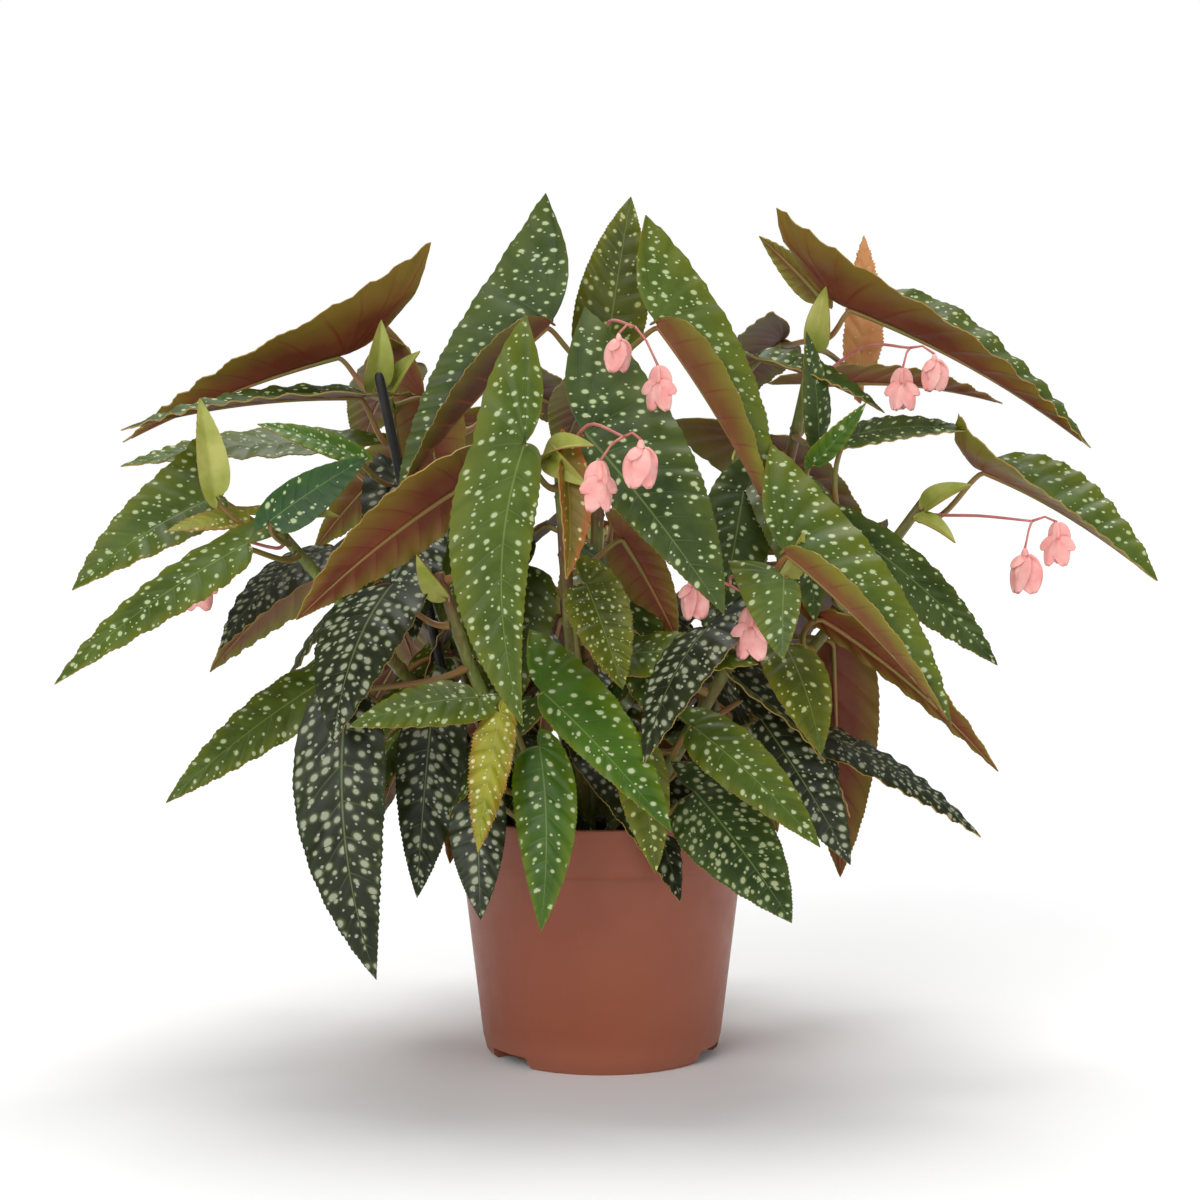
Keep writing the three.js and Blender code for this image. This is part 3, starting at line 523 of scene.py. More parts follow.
def spot_layer(tree, vector, scale, small, large, kept):
    """White where a spot is: random radii from small to large, and only a share of them kept."""
    sockets = {"Vector": vector, "Scale": scale, "Randomness": 0.72}
    cells = put(tree, "ShaderNodeTexVoronoi", sockets, voronoi_dimensions="2D")
    luck = put(tree, "ShaderNodeSeparateColor", {0: cells.outputs["Color"]})
    radius = fade(tree, luck.outputs[0], 0, 1, small, large)
    shown = sums(tree, "LESS_THAN", luck.outputs[1], kept)
    edge = sums(tree, "MULTIPLY", radius, 0.66)
    return sums(tree, "MULTIPLY", fade(tree, cells.outputs["Distance"], radius, edge), shown)


# %% The upper side
SPOT_SILVER = srgb("b9c597")


def upper_side(name, deep, light, edge, silver=SPOT_SILVER, large=0.235, kept=0.8):
    """The face of a blade: greens, veins, spots and halos, with painted shade in the vein grooves
    and paler margins that partly paint sheen.
    """
    made, tree, place, shader = new_material(name)
    spots = put(tree, "ShaderNodeUVMap", uv_map="spots").outputs[0]
    vein, out = rib_map(tree)
    mottle = noise(tree, place, 38, 4, 0.6)
    green = mixed(tree, fade(tree, mottle, 0.34, 0.68), srgb(deep), srgb(light))
    # Paler, yellower green towards the margin: partly the leaf's own margin tint and partly painted
    # sheen, standing in for the gloss that greys the middle of a leaf.
    green = mixed(tree, fade(tree, out, 0.55, 1.0, 0, 0.75), green, srgb(edge))
    # Painted shade: the green darkens towards each side vein, where the blade sinks into a groove.
    green = mixed(tree, fade(tree, vein, 0.16, 0.02, 0, 0.4), green, srgb(deep))
    line = fade(tree, vein, 0.035, 0.0)
    line = sums(tree, "MULTIPLY", line, fade(tree, out, 0.9, 0.1, 0.0, 0.24))
    rib = fade(tree, out, 0.035, 0.012, 0, 0.36)
    green = mixed(tree, sums(tree, "MAXIMUM", line, rib), green, srgb("8ea35e"))
    field = sums(tree, "MULTIPLY", fade(tree, out, 0.05, 0.09), fade(tree, out, 0.97, 0.91))
    dots = sums(tree, "MAXIMUM", spot_layer(tree, spots, 1.0, large * 0.5, large, kept),
                spot_layer(tree, spots, 2.1, large * 0.5, large, 0.22))
    dots = sums(tree, "MULTIPLY", dots, field)
    halo = spot_layer(tree, spots, 1.0, large * 0.8, large * 1.5, kept)
    halo = sums(tree, "MULTIPLY", halo, field)
    green = mixed(tree, sums(tree, "MULTIPLY", halo, 0.22), green, srgb("7d9448"))
    green = mixed(tree, sums(tree, "MULTIPLY", dots, 0.9), green, silver)
    skin = noise(tree, place, 1400, 2)
    relief = sums(tree, "MULTIPLY_ADD", skin, 0.25, sums(tree, "MULTIPLY", dots, 0.5))
    wire(tree, shader, Base_Color=green, Roughness=fade(tree, mottle, 0.3, 0.7, 0.36, 0.48),
         Normal=bump(tree, relief, 0.35, 0.0004))
    shader.inputs["Specular IOR Level"].default_value = 0.3
    return made


def under_side(name, base, middle, edge, vein_colour):
    """The back of a blade: two colours in clouds, another near the margin, and veins."""
    made, tree, place, shader = new_material(name)
    vein, out = rib_map(tree)
    mottle = noise(tree, place, 26, 5, 0.6)
    ground = mixed(tree, fade(tree, mottle, 0.3, 0.7), srgb(base), srgb(middle))
    reach = sums(tree, "ADD", out, sums(tree, "MULTIPLY", sums(tree, "SUBTRACT", mottle, 0.5), 0.8))
    ground = mixed(tree, fade(tree, reach, 0.35, 1.0), ground, srgb(edge))
    line = fade(tree, vein, 0.07, 0.01)
    line = sums(tree, "MULTIPLY", line, fade(tree, out, 0.98, 0.45, 0.1, 0.85))
    ground = mixed(tree, sums(tree, "MAXIMUM", line, fade(tree, out, 0.05, 0.02, 0, 0.6)), ground,
                   srgb(vein_colour))
    fine = noise(tree, place, 500, 4, 0.7)
    wire(tree, shader, Base_Color=ground, Roughness=fade(tree, mottle, 0.3, 0.7, 0.45, 0.6),
         Normal=bump(tree, fine, 0.3, 0.0005))
    return made


def plain_skin(name, low, high, scale, rough):
    """A skin that drifts between two colours, for stalks, margins and scales."""
    made, tree, place, shader = new_material(name)
    drift = fade(tree, noise(tree, place, scale, 4), 0.32, 0.68)
    fine = noise(tree, place, 900, 3)
    wire(tree, shader, Base_Color=mixed(tree, drift, srgb(low), srgb(high)),
         Normal=bump(tree, fine, 0.25, 0.0003))
    shader.inputs["Roughness"].default_value = rough
    return made


print("leaf finishes can be made")

# %% One set of finishes for each age of leaf
UPPERS = {
    "leaf_dark": upper_side("leaf_dark", "2a3b12", "455823", "4c5a12"),
    # A copy of leaf_dark for leaves that hang in shade, with darker greens and its silver spots
    # greyed as painted shade.
    "leaf_dark_shaded": upper_side("leaf_dark_shaded", "191f0e", "292f19", "2a3413", srgb("a5a791"),
                              0.35, 0.93),
    "leaf_green": upper_side("leaf_green", "3e500f", "56691f", "666d0a"),
    "leaf_bright": upper_side("leaf_bright", "314f05", "45690c", "63780a"),
    "leaf_bronze": upper_side("leaf_bronze", "424b06", "5a640c", "727212", srgb("bdc180")),
    "leaf_spotted": upper_side("leaf_spotted", "23340f", "35481a", "44561a", srgb("a9b184"),
                               0.34, 0.95),
    "leaf_red_back": upper_side("leaf_red_back_top", "2b3d0d", "43561d", "56600c"),
}
UNDERS = {
    "leaf_dark": under_side("leaf_dark_back", "4a2410", "633716", "655c16", "83401c"),
    # The back of the same darker copy, for the leaves that hang in shade.
    "leaf_dark_shaded": under_side("leaf_silver_back", "40201a", "542c1e", "55401c", "743020"),
    "leaf_green": under_side("leaf_green_back", "6b3a18", "7f5120", "7d7a18", "74391a"),
    "leaf_bright": under_side("leaf_bright_back", "74501a", "847020", "8a9020", "8a5a26"),
    "leaf_bronze": under_side("leaf_bronze_back", "6b481c", "7d6522", "858024", "7e4a20"),
    "leaf_spotted": under_side("leaf_spotted_back", "4a2410", "5c3517", "5c501c", "7c3c1c"),
    "leaf_red_back": under_side("leaf_red_back", "672a12", "824320", "80681a", "74240e"),
}
MARGIN = plain_skin("leaf_margin", "8a6a2c", "a88a3e", 60, 0.5)
STALK = plain_skin("leaf_stalk", "7c7a34", "9a6a3c", 45, 0.42)
print("leaf materials", len(UPPERS) + len(UNDERS) + 2)

# %% [markdown]
# ## The shape of a wing
# Every blade is half of a pair of wings: one half is broad and runs back past the petiole into
# a pointed lobe, and the other half is slim. Three curves give the flat outline. A grid is laid
# over it so that its columns follow the side veins: they fan out from the petiole through the
# lobe, then leave the midrib one after another. The grid is a better start than a filled
# outline, because the veins, the quilting and the teeth all follow its rows and columns.

# %% The flat outline
def bezier(points, t):
    """A point of a cubic curve between its first and last points."""
    a, b, c, d = points
    s = 1 - t
    return a * s ** 3 + b * (3 * s * s * t) + c * (3 * s * t * t) + d * t ** 3


def outline(form):
    """The lobe's inner edge, the broad margin and the slim margin of a blade of length 1."""
    lean, lobe = math.radians(form.get("hook", 0)), form["lobe"]
    back = Vector((-math.cos(lean), math.sin(lean))) * lobe
    aside = Vector((-math.sin(lean), -math.cos(lean))) * lobe
    start, tip = Vector((0, 0)), Vector((1, 0))
    broad, slim = form["broad"], form["slim"]
    inner = (start, 0.35 * back + 0.24 * aside, 0.7 * back + 0.08 * aside, back)
    outer = (back, Vector((-0.05, 1.15 * broad)), Vector((0.64, 0.72 * broad)), tip)
    narrow = (start, Vector((-0.02, -1.45 * slim)), Vector((0.6, -0.9 * slim)), tip)
    return inner, outer, narrow


LOBE_VEINS, BLADE_VEINS = 4, 8
BROAD_TURN, SLIM_TURN = 0.35, 0.2
CROWDING = 0.75


def flat_ray(shape, fan, sinus, u, broad_half):
    """For one column: where it leaves the midrib, where it ends, and its count of veins."""
    inner, outer, narrow = shape
    foot = max((u - fan) / (1 - fan), 0)
    vein = LOBE_VEINS + BLADE_VEINS * foot
    if not broad_half:
        if u < fan:
            return 0, bezier(narrow, SLIM_TURN * u / fan), LOBE_VEINS - 1 + u / fan
        return foot, bezier(narrow, SLIM_TURN + (1 - SLIM_TURN) * foot ** CROWDING), vein
    if u < sinus:
        return 0, bezier(inner, u / sinus), u / sinus
    if u < fan:
        share = (u - sinus) / (fan - sinus)
        return 0, bezier(outer, BROAD_TURN * share), 1 + (LOBE_VEINS - 1) * share
    return foot, bezier(outer, BROAD_TURN + (1 - BROAD_TURN) * foot ** CROWDING), vein


# %% Setting the blade in space
CREASE = 0.02


def placer(base, tip, face, side, form):
    """Carries flat points into place: bowed along the midrib, folded at it and twisted."""
    chord = tip - base
    length, along = chord.length, chord.normalized()
    up = (face - along * face.dot(along)).normalized()
    fold, arch, sweep_by = form.get("fold", (0, 0)), form.get("arch", 0.04), form.get("sweep", 0)
    twist, droop = form.get("twist", 0), form.get("droop", 0.04)

    def place(x, y, lift=0.0):
        bow = 4 * x * (1 - x) if x > 0 else 0
        lie = arch * (bow if x >= 0 else 2 * x) - droop * min((y / form["broad"]) ** 2, 1) + lift
        n = Quaternion(along, math.radians(twist * x)) @ up
        w = n.cross(along) * side
        rise = 0 if x < 0 and y < 0 else math.radians(fold[0 if y >= 0 else 1])
        across = math.sqrt(y * y + CREASE * CREASE) - CREASE
        spot = base + chord * x + n * (length * (lie + across * math.sin(rise)))
        return spot + w * (length * (sweep_by * bow + y * math.cos(rise)))

    return place, length


print("outline and placing ready")

# %% [markdown]
# ## Making a leaf
# The blade is quilted: it sinks along each side vein and swells between them, and its margin
# waves and carries fine teeth. All of that is vertex movement on the grid. Solidify then gives
# the sheet its thickness with its own finish below and on the rim. The petiole and the midrib
# are one tapering rod, since on the plant they are one, and they join the blade's mesh.

# %% A blade from a grid
COLUMNS, ROWS = 92, 18
BLADE_THICK = 0.0007
FULL_SIZE = 0.14
WAVE, QUILT, TEETH = 0.0010, 0.0009, 0.0006
VEIN_WIDTH, VEIN_CURVE = 0.16, 0.06
FAN_LEAST, FAN_PER_LOBE, SINUS_SHARE = 0.14, 0.36, 0.45
SPOT_LEAN, OTHER_HALF = 0.3, 20


def blade_sheet(bm, place, length, form, seed):
    """Lays the grid over the outline, moves it into place and writes the two UV maps."""
    shape = outline(form)
    fan = round((FAN_LEAST + FAN_PER_LOBE * form["lobe"]) * COLUMNS) / COLUMNS
    sinus = round(SINUS_SHARE * fan * COLUMNS) / COLUMNS
    cell = form.get("cell", 7.0) / 1000
    relief = form.get("relief", 1.0) * min(length / FULL_SIZE, 1) / length
    wave, quilt, teeth = WAVE * relief, QUILT * relief, TEETH * relief
    chance = random.Random(seed)
    start_wave, shift = chance.uniform(0, 6.28), (chance.uniform(0, 40), chance.uniform(0, 40))
    bmesh.ops.create_grid(bm, x_segments=COLUMNS, y_segments=ROWS, size=1)
    marks, spots = {}, {}
    for vert in bm.verts:
        u, v = (vert.co.x + 1) / 2, vert.co.y
        column = round(u * COLUMNS)
        for half in (1, -1):
            if v * half < -1e-6:
                continue
            foot, edge, vein = flat_ray(shape, fan, sinus, column / COLUMNS, half > 0)
            r = abs(v)
            ray = edge - Vector((foot, 0))
            width = ray.length
            near = 4 * r * (1 - r)
            tooth = 0.0
            corner = half > 0 and abs(column / COLUMNS - sinus) < 0.5 / COLUMNS
            if r > 0.999 and 0 < column < COLUMNS - 1 and not corner:
                tooth = teeth * (0.9 if column % 2 else -0.4) * min(width / 0.1, 1)
            flat = Vector((foot, 0)) + ray * r + ray.normalized() * tooth
            flat.x -= VEIN_CURVE * width * near
            beside = abs((vein + 0.5) % 1 - 0.5)
            opened = min(r * (6 if foot > 0 else 1.6), 1)
            hollow = math.exp(-(beside / VEIN_WIDTH) ** 2) * opened * (1 - 0.6 * r)
            uneven = 2.4 * math.sin(vein * 0.7 + start_wave)
            frill = math.sin(2 * math.pi * (vein + 0.25) + start_wave + uneven)
            taper = min(width / 0.12, 1) * (0.2 if corner else 1)
            lift = taper * (wave * frill * r ** 3 - quilt * hollow + quilt * opened * near * beside)
            marks[vert.index, half] = (vein, half * r)
            lean, aside = flat.x - SPOT_LEAN * abs(flat.y), abs(flat.y) * length / (cell * 1.1)
            spots[vert.index, half] = (lean * length / cell + shift[0],
                                       aside + shift[1] + (OTHER_HALF if half < 0 else 0))
            if half > 0 or r > 1e-6:
                vert.co = (flat.x, flat.y, lift)
    ribs, dots = bm.loops.layers.uv.new("ribs"), bm.loops.layers.uv.new("spots")
    for face in bm.faces:
        half = 1 if max(marks.get((v.index, 1), (0, 0))[1] for v in face.verts) > 1e-6 else -1
        for loop in face.loops:
            loop[ribs].uv = marks[loop.vert.index, half]
            loop[dots].uv = spots[loop.vert.index, half]
    for vert in bm.verts:
        vert.co = place(*vert.co)
    bmesh.ops.remove_doubles(bm, verts=bm.verts, dist=5e-6)
    bmesh.ops.dissolve_degenerate(bm, edges=bm.edges, dist=1e-6)
    bm.normal_update()


PETIOLE_FOOT, PETIOLE_RADIUS = (0.0024, 0.0019, 0.0017), 0.0016
MIDRIB_RADIUS, MIDRIB_TIP = 0.00125, 0.00012


def leaf_piece(name, points, facing, side, form, finish, start=None, out=None, seed=1):
    """A whole leaf: blade, petiole and midrib in one mesh."""
    base, tip, face = metres(points[0]), metres(points[1]), Vector(facing)
    place, length = placer(base, tip, face, side, form)
    bm = bmesh.new()
    blade_sheet(bm, place, length, form, seed)
    ahead, along = place(0.1, 0), (place(0.1, 0) - base).normalized()
    up = (face - along * face.dot(along)).normalized()
    broad_faces = [f for f in bm.faces if f.loops[0][bm.loops.layers.uv["ribs"]].uv.y > 0.01]
    if sum(f.normal.dot(up) * f.calc_area() for f in broad_faces) < 0:
        bmesh.ops.reverse_faces(bm, faces=bm.faces)
    piece = mesh_object(name, bm, [UPPERS[finish], UNDERS[finish], MARGIN, STALK])
    wall = piece.modifiers.new("thickness", "SOLIDIFY")
    wall.thickness, wall.offset = BLADE_THICK, -1
    wall.material_offset, wall.material_offset_rim = 1, 2
    modified(piece)
    bm = bmesh.new()
    bm.from_mesh(piece.data)
    rod, radii = [], []
    if start is not None:
        end = base.lerp(ahead, 0.3) - up * 0.0010
        reach = (base - start).length
        before_end = end - along * (0.2 * reach) - up * (0.15 * reach)
        bends = (start, start + out * (0.4 * reach), before_end, end)
        rod = [bezier(bends, i / 12) for i in range(12)]
        radii = [*PETIOLE_FOOT, *(PETIOLE_RADIUS - 0.00003 * i for i in range(9))]
    for i in range(13):
        x = 0.03 + 0.93 * (i / 12)
        thick = MIDRIB_RADIUS * (1 - x) ** 0.8 + MIDRIB_TIP
        rod.append(place(x, 0) - up * (BLADE_THICK + 0.5 * thick))
        radii.append(thick)
    made = sweep(bm, rod, radii, 8, material=3)
    for face in made:
        face.smooth = True
    bm.to_mesh(piece.data)
    bm.free()
    shaded_by_angle(piece, 60)
    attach(piece, "root")
    return piece


def beside_cane(cane, branch, height, goal, inside=0.0012):
    """Where a stalk leaves a cane on the side that faces its goal, and which way."""
    at, along = node_on(cane, branch, height)
    out = goal - at
    out = (out - along * out.dot(along)).normalized()
    return at + out * (CANE_RADIUS - inside), out


print("grid", COLUMNS, "by", ROWS)

# %% [markdown]
# ## The leaves that stand alone
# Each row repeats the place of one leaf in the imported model: its cane, the branch and the
# height of its joint, where the blade meets the petiole, the tip, the way its face looks and
# which side its broad half is on. The places at the back are guesses that follow the front.
# Then come the proportions of the blade. `fold` lifts the two halves like an open book,
# `sweep` and `arch` bend the midrib, and `cell` is the spacing of the spots in millimetres.

# %% Places of the leaves
LEAVES = [
    # the crown, left to right
    ("top_left", "left", 0, 352, (-138, 6, 375), (-254, -12, 328), (-0.1, -0.1, 1), 1,
     dict(finish="leaf_red_back", broad=0.25,
          slim=0.22, lobe=0.68, hook=44, fold=(58, 38), arch=0.03)),
    ("left_flat", "left", 0, 328, (-124, -16, 352), (-247, -52, 334), (0, -0.1, 1), 1,
     dict(finish="leaf_dark", broad=0.22, slim=0.2, lobe=0.2, fold=(20, 24), arch=0.04)),
    ("left_shade", "left", 0, 300, (-149, 36, 328), (-260, 12, 315), (0, -0.4, 0.9), -1,
     dict(finish="leaf_green", broad=0.26, slim=0.18, lobe=0.35, fold=(6, 6), arch=0.04)),
    ("left_tall", "centre", 1, 366, (-26, -66, 388), (-102, -92, 300), (-0.25, -0.95, 0.4), -1,
     dict(finish="leaf_dark", broad=0.34, slim=0.17, lobe=0.68, hook=44, fold=(6, 118), arch=0.06)),
    ("upright", "centre", 1, 350, (2, -34, 372), (15, -30, 455), (-0.1, -1, 0.1), 1,
     dict(finish="leaf_bronze", broad=0.34, slim=0.24, lobe=0.25, arch=0.03)),
    ("right_curl", "centre", 1, 372, (27, -72, 388), (86, -94, 286), (0.3, -0.95, 0.3), 1,
     dict(finish="leaf_green", broad=0.33,
          slim=0.19, lobe=0.52, hook=28, fold=(6, 120), arch=0.06)),
    ("top_right", "right", 0, 384, (128, -8, 400), (255, -32, 325), (0.15, -0.1, 1), -1,
     dict(finish="leaf_red_back", broad=0.23,
          slim=0.34, lobe=0.5, hook=46, fold=(50, 40), arch=0.04)),
    ("right_shade", "right", 0, 330, (120, 26, 360), (217, 18, 349), (0.1, 0.15, 1), -1,
     dict(finish="leaf_red_back", broad=0.26, slim=0.22, lobe=0.3, fold=(32, 20), arch=0.05)),
    ("right_fold", "right", 0, 310, (80, -38, 372), (146, -44, 343), (0.1, -0.3, 1), -1,
     dict(finish="leaf_dark", broad=0.3, slim=0.24, lobe=0.3, fold=(20, 26), arch=0.05)),
    ("right_level", "right", 1, 262, (124, -48, 330), (187, -60, 334), (0, -0.45, 0.9), -1,
     dict(finish="leaf_dark", broad=0.34, slim=0.26, lobe=0.3, fold=(6, 6), arch=0.06)),
    # the shoulders
    ("left_mid", "left", 1, 282, (-200, -24, 300), (-272, -58, 252), (-0.15, -0.6, 0.8), -1,
     dict(finish="leaf_green", broad=0.32, slim=0.26, lobe=0.55, hook=66, fold=(30, 4), arch=0.06)),
    ("left_long", "left", 1, 270, (-178, -80, 277), (-269, -114, 209), (-0.2, -0.75, 0.75), -1,
     dict(finish="leaf_green", broad=0.2, slim=0.15, lobe=0.47, hook=4, arch=0.05)),
    ("red_back", "front", 1, 258, (-70, -102, 306), (-148, -132, 242), (-0.35, 0.75, 0.65), 1,
     dict(finish="leaf_red_back", broad=0.34, slim=0.22, lobe=0.3, hook=10, arch=0.04)),
    ("right_wing", "right", 1, 290, (196, -36, 314), (284, -62, 257), (0.05, -0.4, 0.95), -1,
     dict(finish="leaf_bright", look="leaf_green", broad=0.2, slim=0.36, lobe=0.46, hook=66,
          fold=(58, 16), arch=0.05, twist=20)),
    ("right_behind", "right", 1, 240, (130, -56, 280), (202, -66, 214), (0.25, -0.8, 0.6), 1,
     dict(finish="leaf_dark", cell=6.5, broad=0.26, slim=0.22, lobe=0.3, arch=0.05)),
    # the front
    ("front_long", "centre", 0, 306, (-37, -132, 327), (-37, -176, 195), (0.1, -1, 0.2), -1,
     dict(finish="leaf_green", broad=0.27, slim=0.11, lobe=0.5, sweep=0.08, arch=0.05)),
    ("centre", "centre", 0, 318, (-8, -116, 331), (58, -152, 246), (0.15, -1, 0.25), 1,
     dict(finish="leaf_dark", broad=0.4, slim=0.13, lobe=0.68, hook=35, arch=0.07)),
    ("right_front", "front", 0, 262, (88, -124, 275), (166, -154, 193), (0.15, -0.9, 0.45), 1,
     dict(finish="leaf_green", broad=0.33,
          slim=0.15, lobe=0.54, hook=40, fold=(4, 110), arch=0.07)),
    ("small_front", "front", 0, 238, (88, -128, 262), (86, -148, 224), (-0.2, -1, 0.2), -1,
     dict(finish="leaf_green", broad=0.5, slim=0.22, lobe=0.72, hook=66, arch=0.06)),
    ("bright_front", "front", 0, 158, (-29, -125, 206), (33, -154, 142), (0.1, -0.85, 0.5), 1,
     dict(finish="leaf_bright", broad=0.33, slim=0.12, lobe=0.4, hook=32, arch=0.07)),
    ("hang_front", "front", 1, 150, (-31, -110, 178), (-30, -132, 90), (-0.05, -1, 0.2), 1,
     dict(finish="leaf_bright", broad=0.24, slim=0.2, lobe=0.1, sweep=0.04, arch=0.03, twist=10)),
    ("dark_inner", "front", 0, 200, (8, -96, 222), (76, -124, 220), (0, -0.65, 0.75), -1,
     dict(finish="leaf_green", broad=0.3, slim=0.26, lobe=0.2, arch=0.06)),
    ("green_side", "front", 1, 176, (-60, -118, 203), (-121, -148, 192), (-0.05, -0.75, 0.65), 1,
     dict(finish="leaf_green", broad=0.3, slim=0.22, lobe=0.2, arch=0.07)),
    # the skirt, left to right
    ("skirt_left", "left", 1, 188, (-138, -34, 208), (-224, -64, 143), (-0.15, -0.8, 0.6), 1,
     dict(finish="leaf_green", broad=0.22, slim=0.18, lobe=0.2, arch=0.05)),
    ("dark_left", "left", 1, 236, (-144, 0, 272), (-199, -42, 220), (-0.35, -0.45, 0.8), 1,
     dict(finish="leaf_dark", look="leaf_dark_shaded", cell=5.5, broad=0.34,
          slim=0.3, lobe=0.16, arch=0.1)),
    ("dark_shoulder", "front", 1, 236, (-106, -78, 256), (-130, -136, 183), (-0.4, -0.8, 0.5), 1,
     dict(finish="leaf_dark", look="leaf_dark_shaded", cell=6.0, broad=0.36,
          slim=0.32, lobe=0.3, arch=0.1)),
    ("hang_left", "front", 1, 214, (-126, -106, 204), (-110, -132, 66), (-0.1, -1, 0.12), -1,
     dict(finish="leaf_dark", look="leaf_dark_shaded", cell=6.6, broad=0.25,
          slim=0.17, lobe=0.1, sweep=0.05, arch=0.05)),
    ("hang_inner", "front", 1, 150, (-86, -72, 196), (-93, -94, 99), (-0.05, -1, 0.2), 1,
     dict(finish="leaf_dark", look="leaf_dark_shaded", cell=6.0, broad=0.27,
          slim=0.18, lobe=0.2, arch=0.05)),
    ("skirt_low", "front", 1, 132, (-62, -90, 152), (-60, -114, 92), (-0.1, -1, 0.2), 1,
     dict(finish="leaf_dark", look="leaf_dark_shaded", cell=6.0, broad=0.3,
          slim=0.26, lobe=0.3, arch=0.05)),
    ("skirt_spotted", "front", 0, 136, (46, -100, 154), (92, -136, 95), (0.15, -0.85, 0.5), 1,
     dict(finish="leaf_dark", look="leaf_spotted", cell=5.2, broad=0.4,
          slim=0.32, lobe=0.25, arch=0.05)),
    ("skirt_green", "front", 0, 168, (44, -108, 188), (105, -142, 133), (0.15, -0.85, 0.5), 1,
     dict(finish="leaf_green", broad=0.28, slim=0.18, lobe=0.14, arch=0.06)),
    ("skirt_dark", "front", 0, 180, (80, -78, 188), (124, -100, 117), (0.25, -0.9, 0.35), 1,
     dict(finish="leaf_dark", look="leaf_dark_shaded", cell=5.5, broad=0.32,
          slim=0.22, lobe=0.3, arch=0.05)),
    ("skirt_right", "right", 1, 176, (96, -48, 184), (195, -62, 125), (0.35, -0.35, 0.9), -1,
     dict(finish="leaf_dark", look="leaf_dark_shaded", cell=5.0, broad=0.22,
          slim=0.2, lobe=0.3, arch=0.06)),
    ("skirt_olive", "right", 1, 206, (92, -84, 226), (108, -112, 174), (0.3, -0.8, 0.5), -1,
     dict(finish="leaf_bronze", broad=0.4, slim=0.3, lobe=0.2, arch=0.08)),
    ("purple_right", "right", 1, 218, (110, -66, 240), (200, -84, 162), (0.35, 0.6, 0.7), 1,
     dict(finish="leaf_red_back", broad=0.16, slim=0.14, lobe=0.2, fold=(20, 20), arch=0.05)),
    ("red_hanging", "right", 0, 226, (124, -4, 222), (127, -18, 96), (0.15, 1, 0.15), -1,
     dict(finish="leaf_red_back", broad=0.26, slim=0.2, lobe=0.15, fold=(8, 20), arch=0.04)),
    # the back
    ("back_tall_left", "back", 0, 320, (-96, 142, 340), (-176, 176, 262), (-0.3, 0.85, 0.5), -1,
     dict(finish="leaf_green", broad=0.3, slim=0.18, lobe=0.52, hook=40, arch=0.08)),
    ("back_tall_right", "back", 1, 310, (96, 148, 330), (172, 186, 250), (0.35, 0.85, 0.45), 1,
     dict(finish="leaf_dark", broad=0.3, slim=0.18, lobe=0.52, hook=36, arch=0.08)),
    ("back_centre", "back", 2, 262, (4, 176, 280), (-28, 208, 166), (0, 1, 0.25), -1,
     dict(finish="leaf_green", broad=0.27, slim=0.18, lobe=0.5, hook=28, arch=0.07)),
    ("back_crown", "back", 0, 334, (-62, 134, 364), (14, 176, 322), (0.1, 0.75, 0.7), -1,
     dict(finish="leaf_dark", broad=0.28, slim=0.18, lobe=0.5, hook=36, arch=0.08)),
    ("back_low_left", "back", 0, 224, (-88, 124, 244), (-146, 162, 156), (-0.35, 0.85, 0.35), 1,
     dict(finish="leaf_dark", broad=0.3, slim=0.2, lobe=0.25, arch=0.07)),
    ("back_low_right", "back", 1, 216, (86, 128, 236), (140, 168, 144), (0.35, 0.85, 0.35), 1,
     dict(finish="leaf_dark", broad=0.3, slim=0.2, lobe=0.25, arch=0.07)),
    ("back_skirt", "back", 2, 170, (22, 116, 186), (58, 144, 98), (0.1, 1, 0.2), 1,
     dict(finish="leaf_green", broad=0.32, slim=0.24, lobe=0.2, arch=0.05)),
    ("back_wing_left", "left", 0, 250, (-140, 62, 268), (-226, 92, 196), (-0.5, 0.6, 0.65), -1,
     dict(finish="leaf_green", broad=0.3, slim=0.2, lobe=0.4, hook=24, arch=0.07)),
    ("back_wing_right", "right", 0, 262, (134, 60, 280), (222, 90, 206), (0.5, 0.6, 0.65), 1,
     dict(finish="leaf_bronze", broad=0.3, slim=0.2, lobe=0.4, hook=24, arch=0.07)),
]
print("leaves in the table", len(LEAVES))

# %% Growing them
def grow(row, number, prefix, fallback=None):
    """Makes the leaf of one table row and hides the solid that it stands for."""
    name, cane, branch, height, base, tip, facing, side, form = row
    start, out = beside_cane(cane, branch, height, metres(base))
    finish = form.get("look", form.get("finish", fallback))
    piece = leaf_piece(f"{prefix}{name}", (base, tip), facing, side, form, finish, start, out,
                       number)
    form.get("finish", "cane_green")
    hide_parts(f"{prefix}{name}" if fallback is None else f"cane_{cane}")
    return piece


def misfit(piece, node):
    """How far a piece's box stands outside its node's box, in millimetres."""
    low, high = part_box(node)
    corners = [Vector(c) for c in piece.bound_box]
    return max(max(max(low[i] - c[i], c[i] - high[i]) for i in range(3)) for c in corners) * 1000


for number, row in enumerate(LEAVES):
    piece = grow(row, number, "leaf_")
    print(piece.name, "outside its solid by", round(misfit(piece, f"leaf_{row[0]}"), 1), "mm")

# %% [markdown]
# ## Young leaves and inner leaves
# Shoot tips are small, soft and golden or copper before they turn green. More grown leaves
# fill the middle and the back of the plant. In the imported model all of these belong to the
# solid of the cane that carries them, so each one stands for a part of that cane.

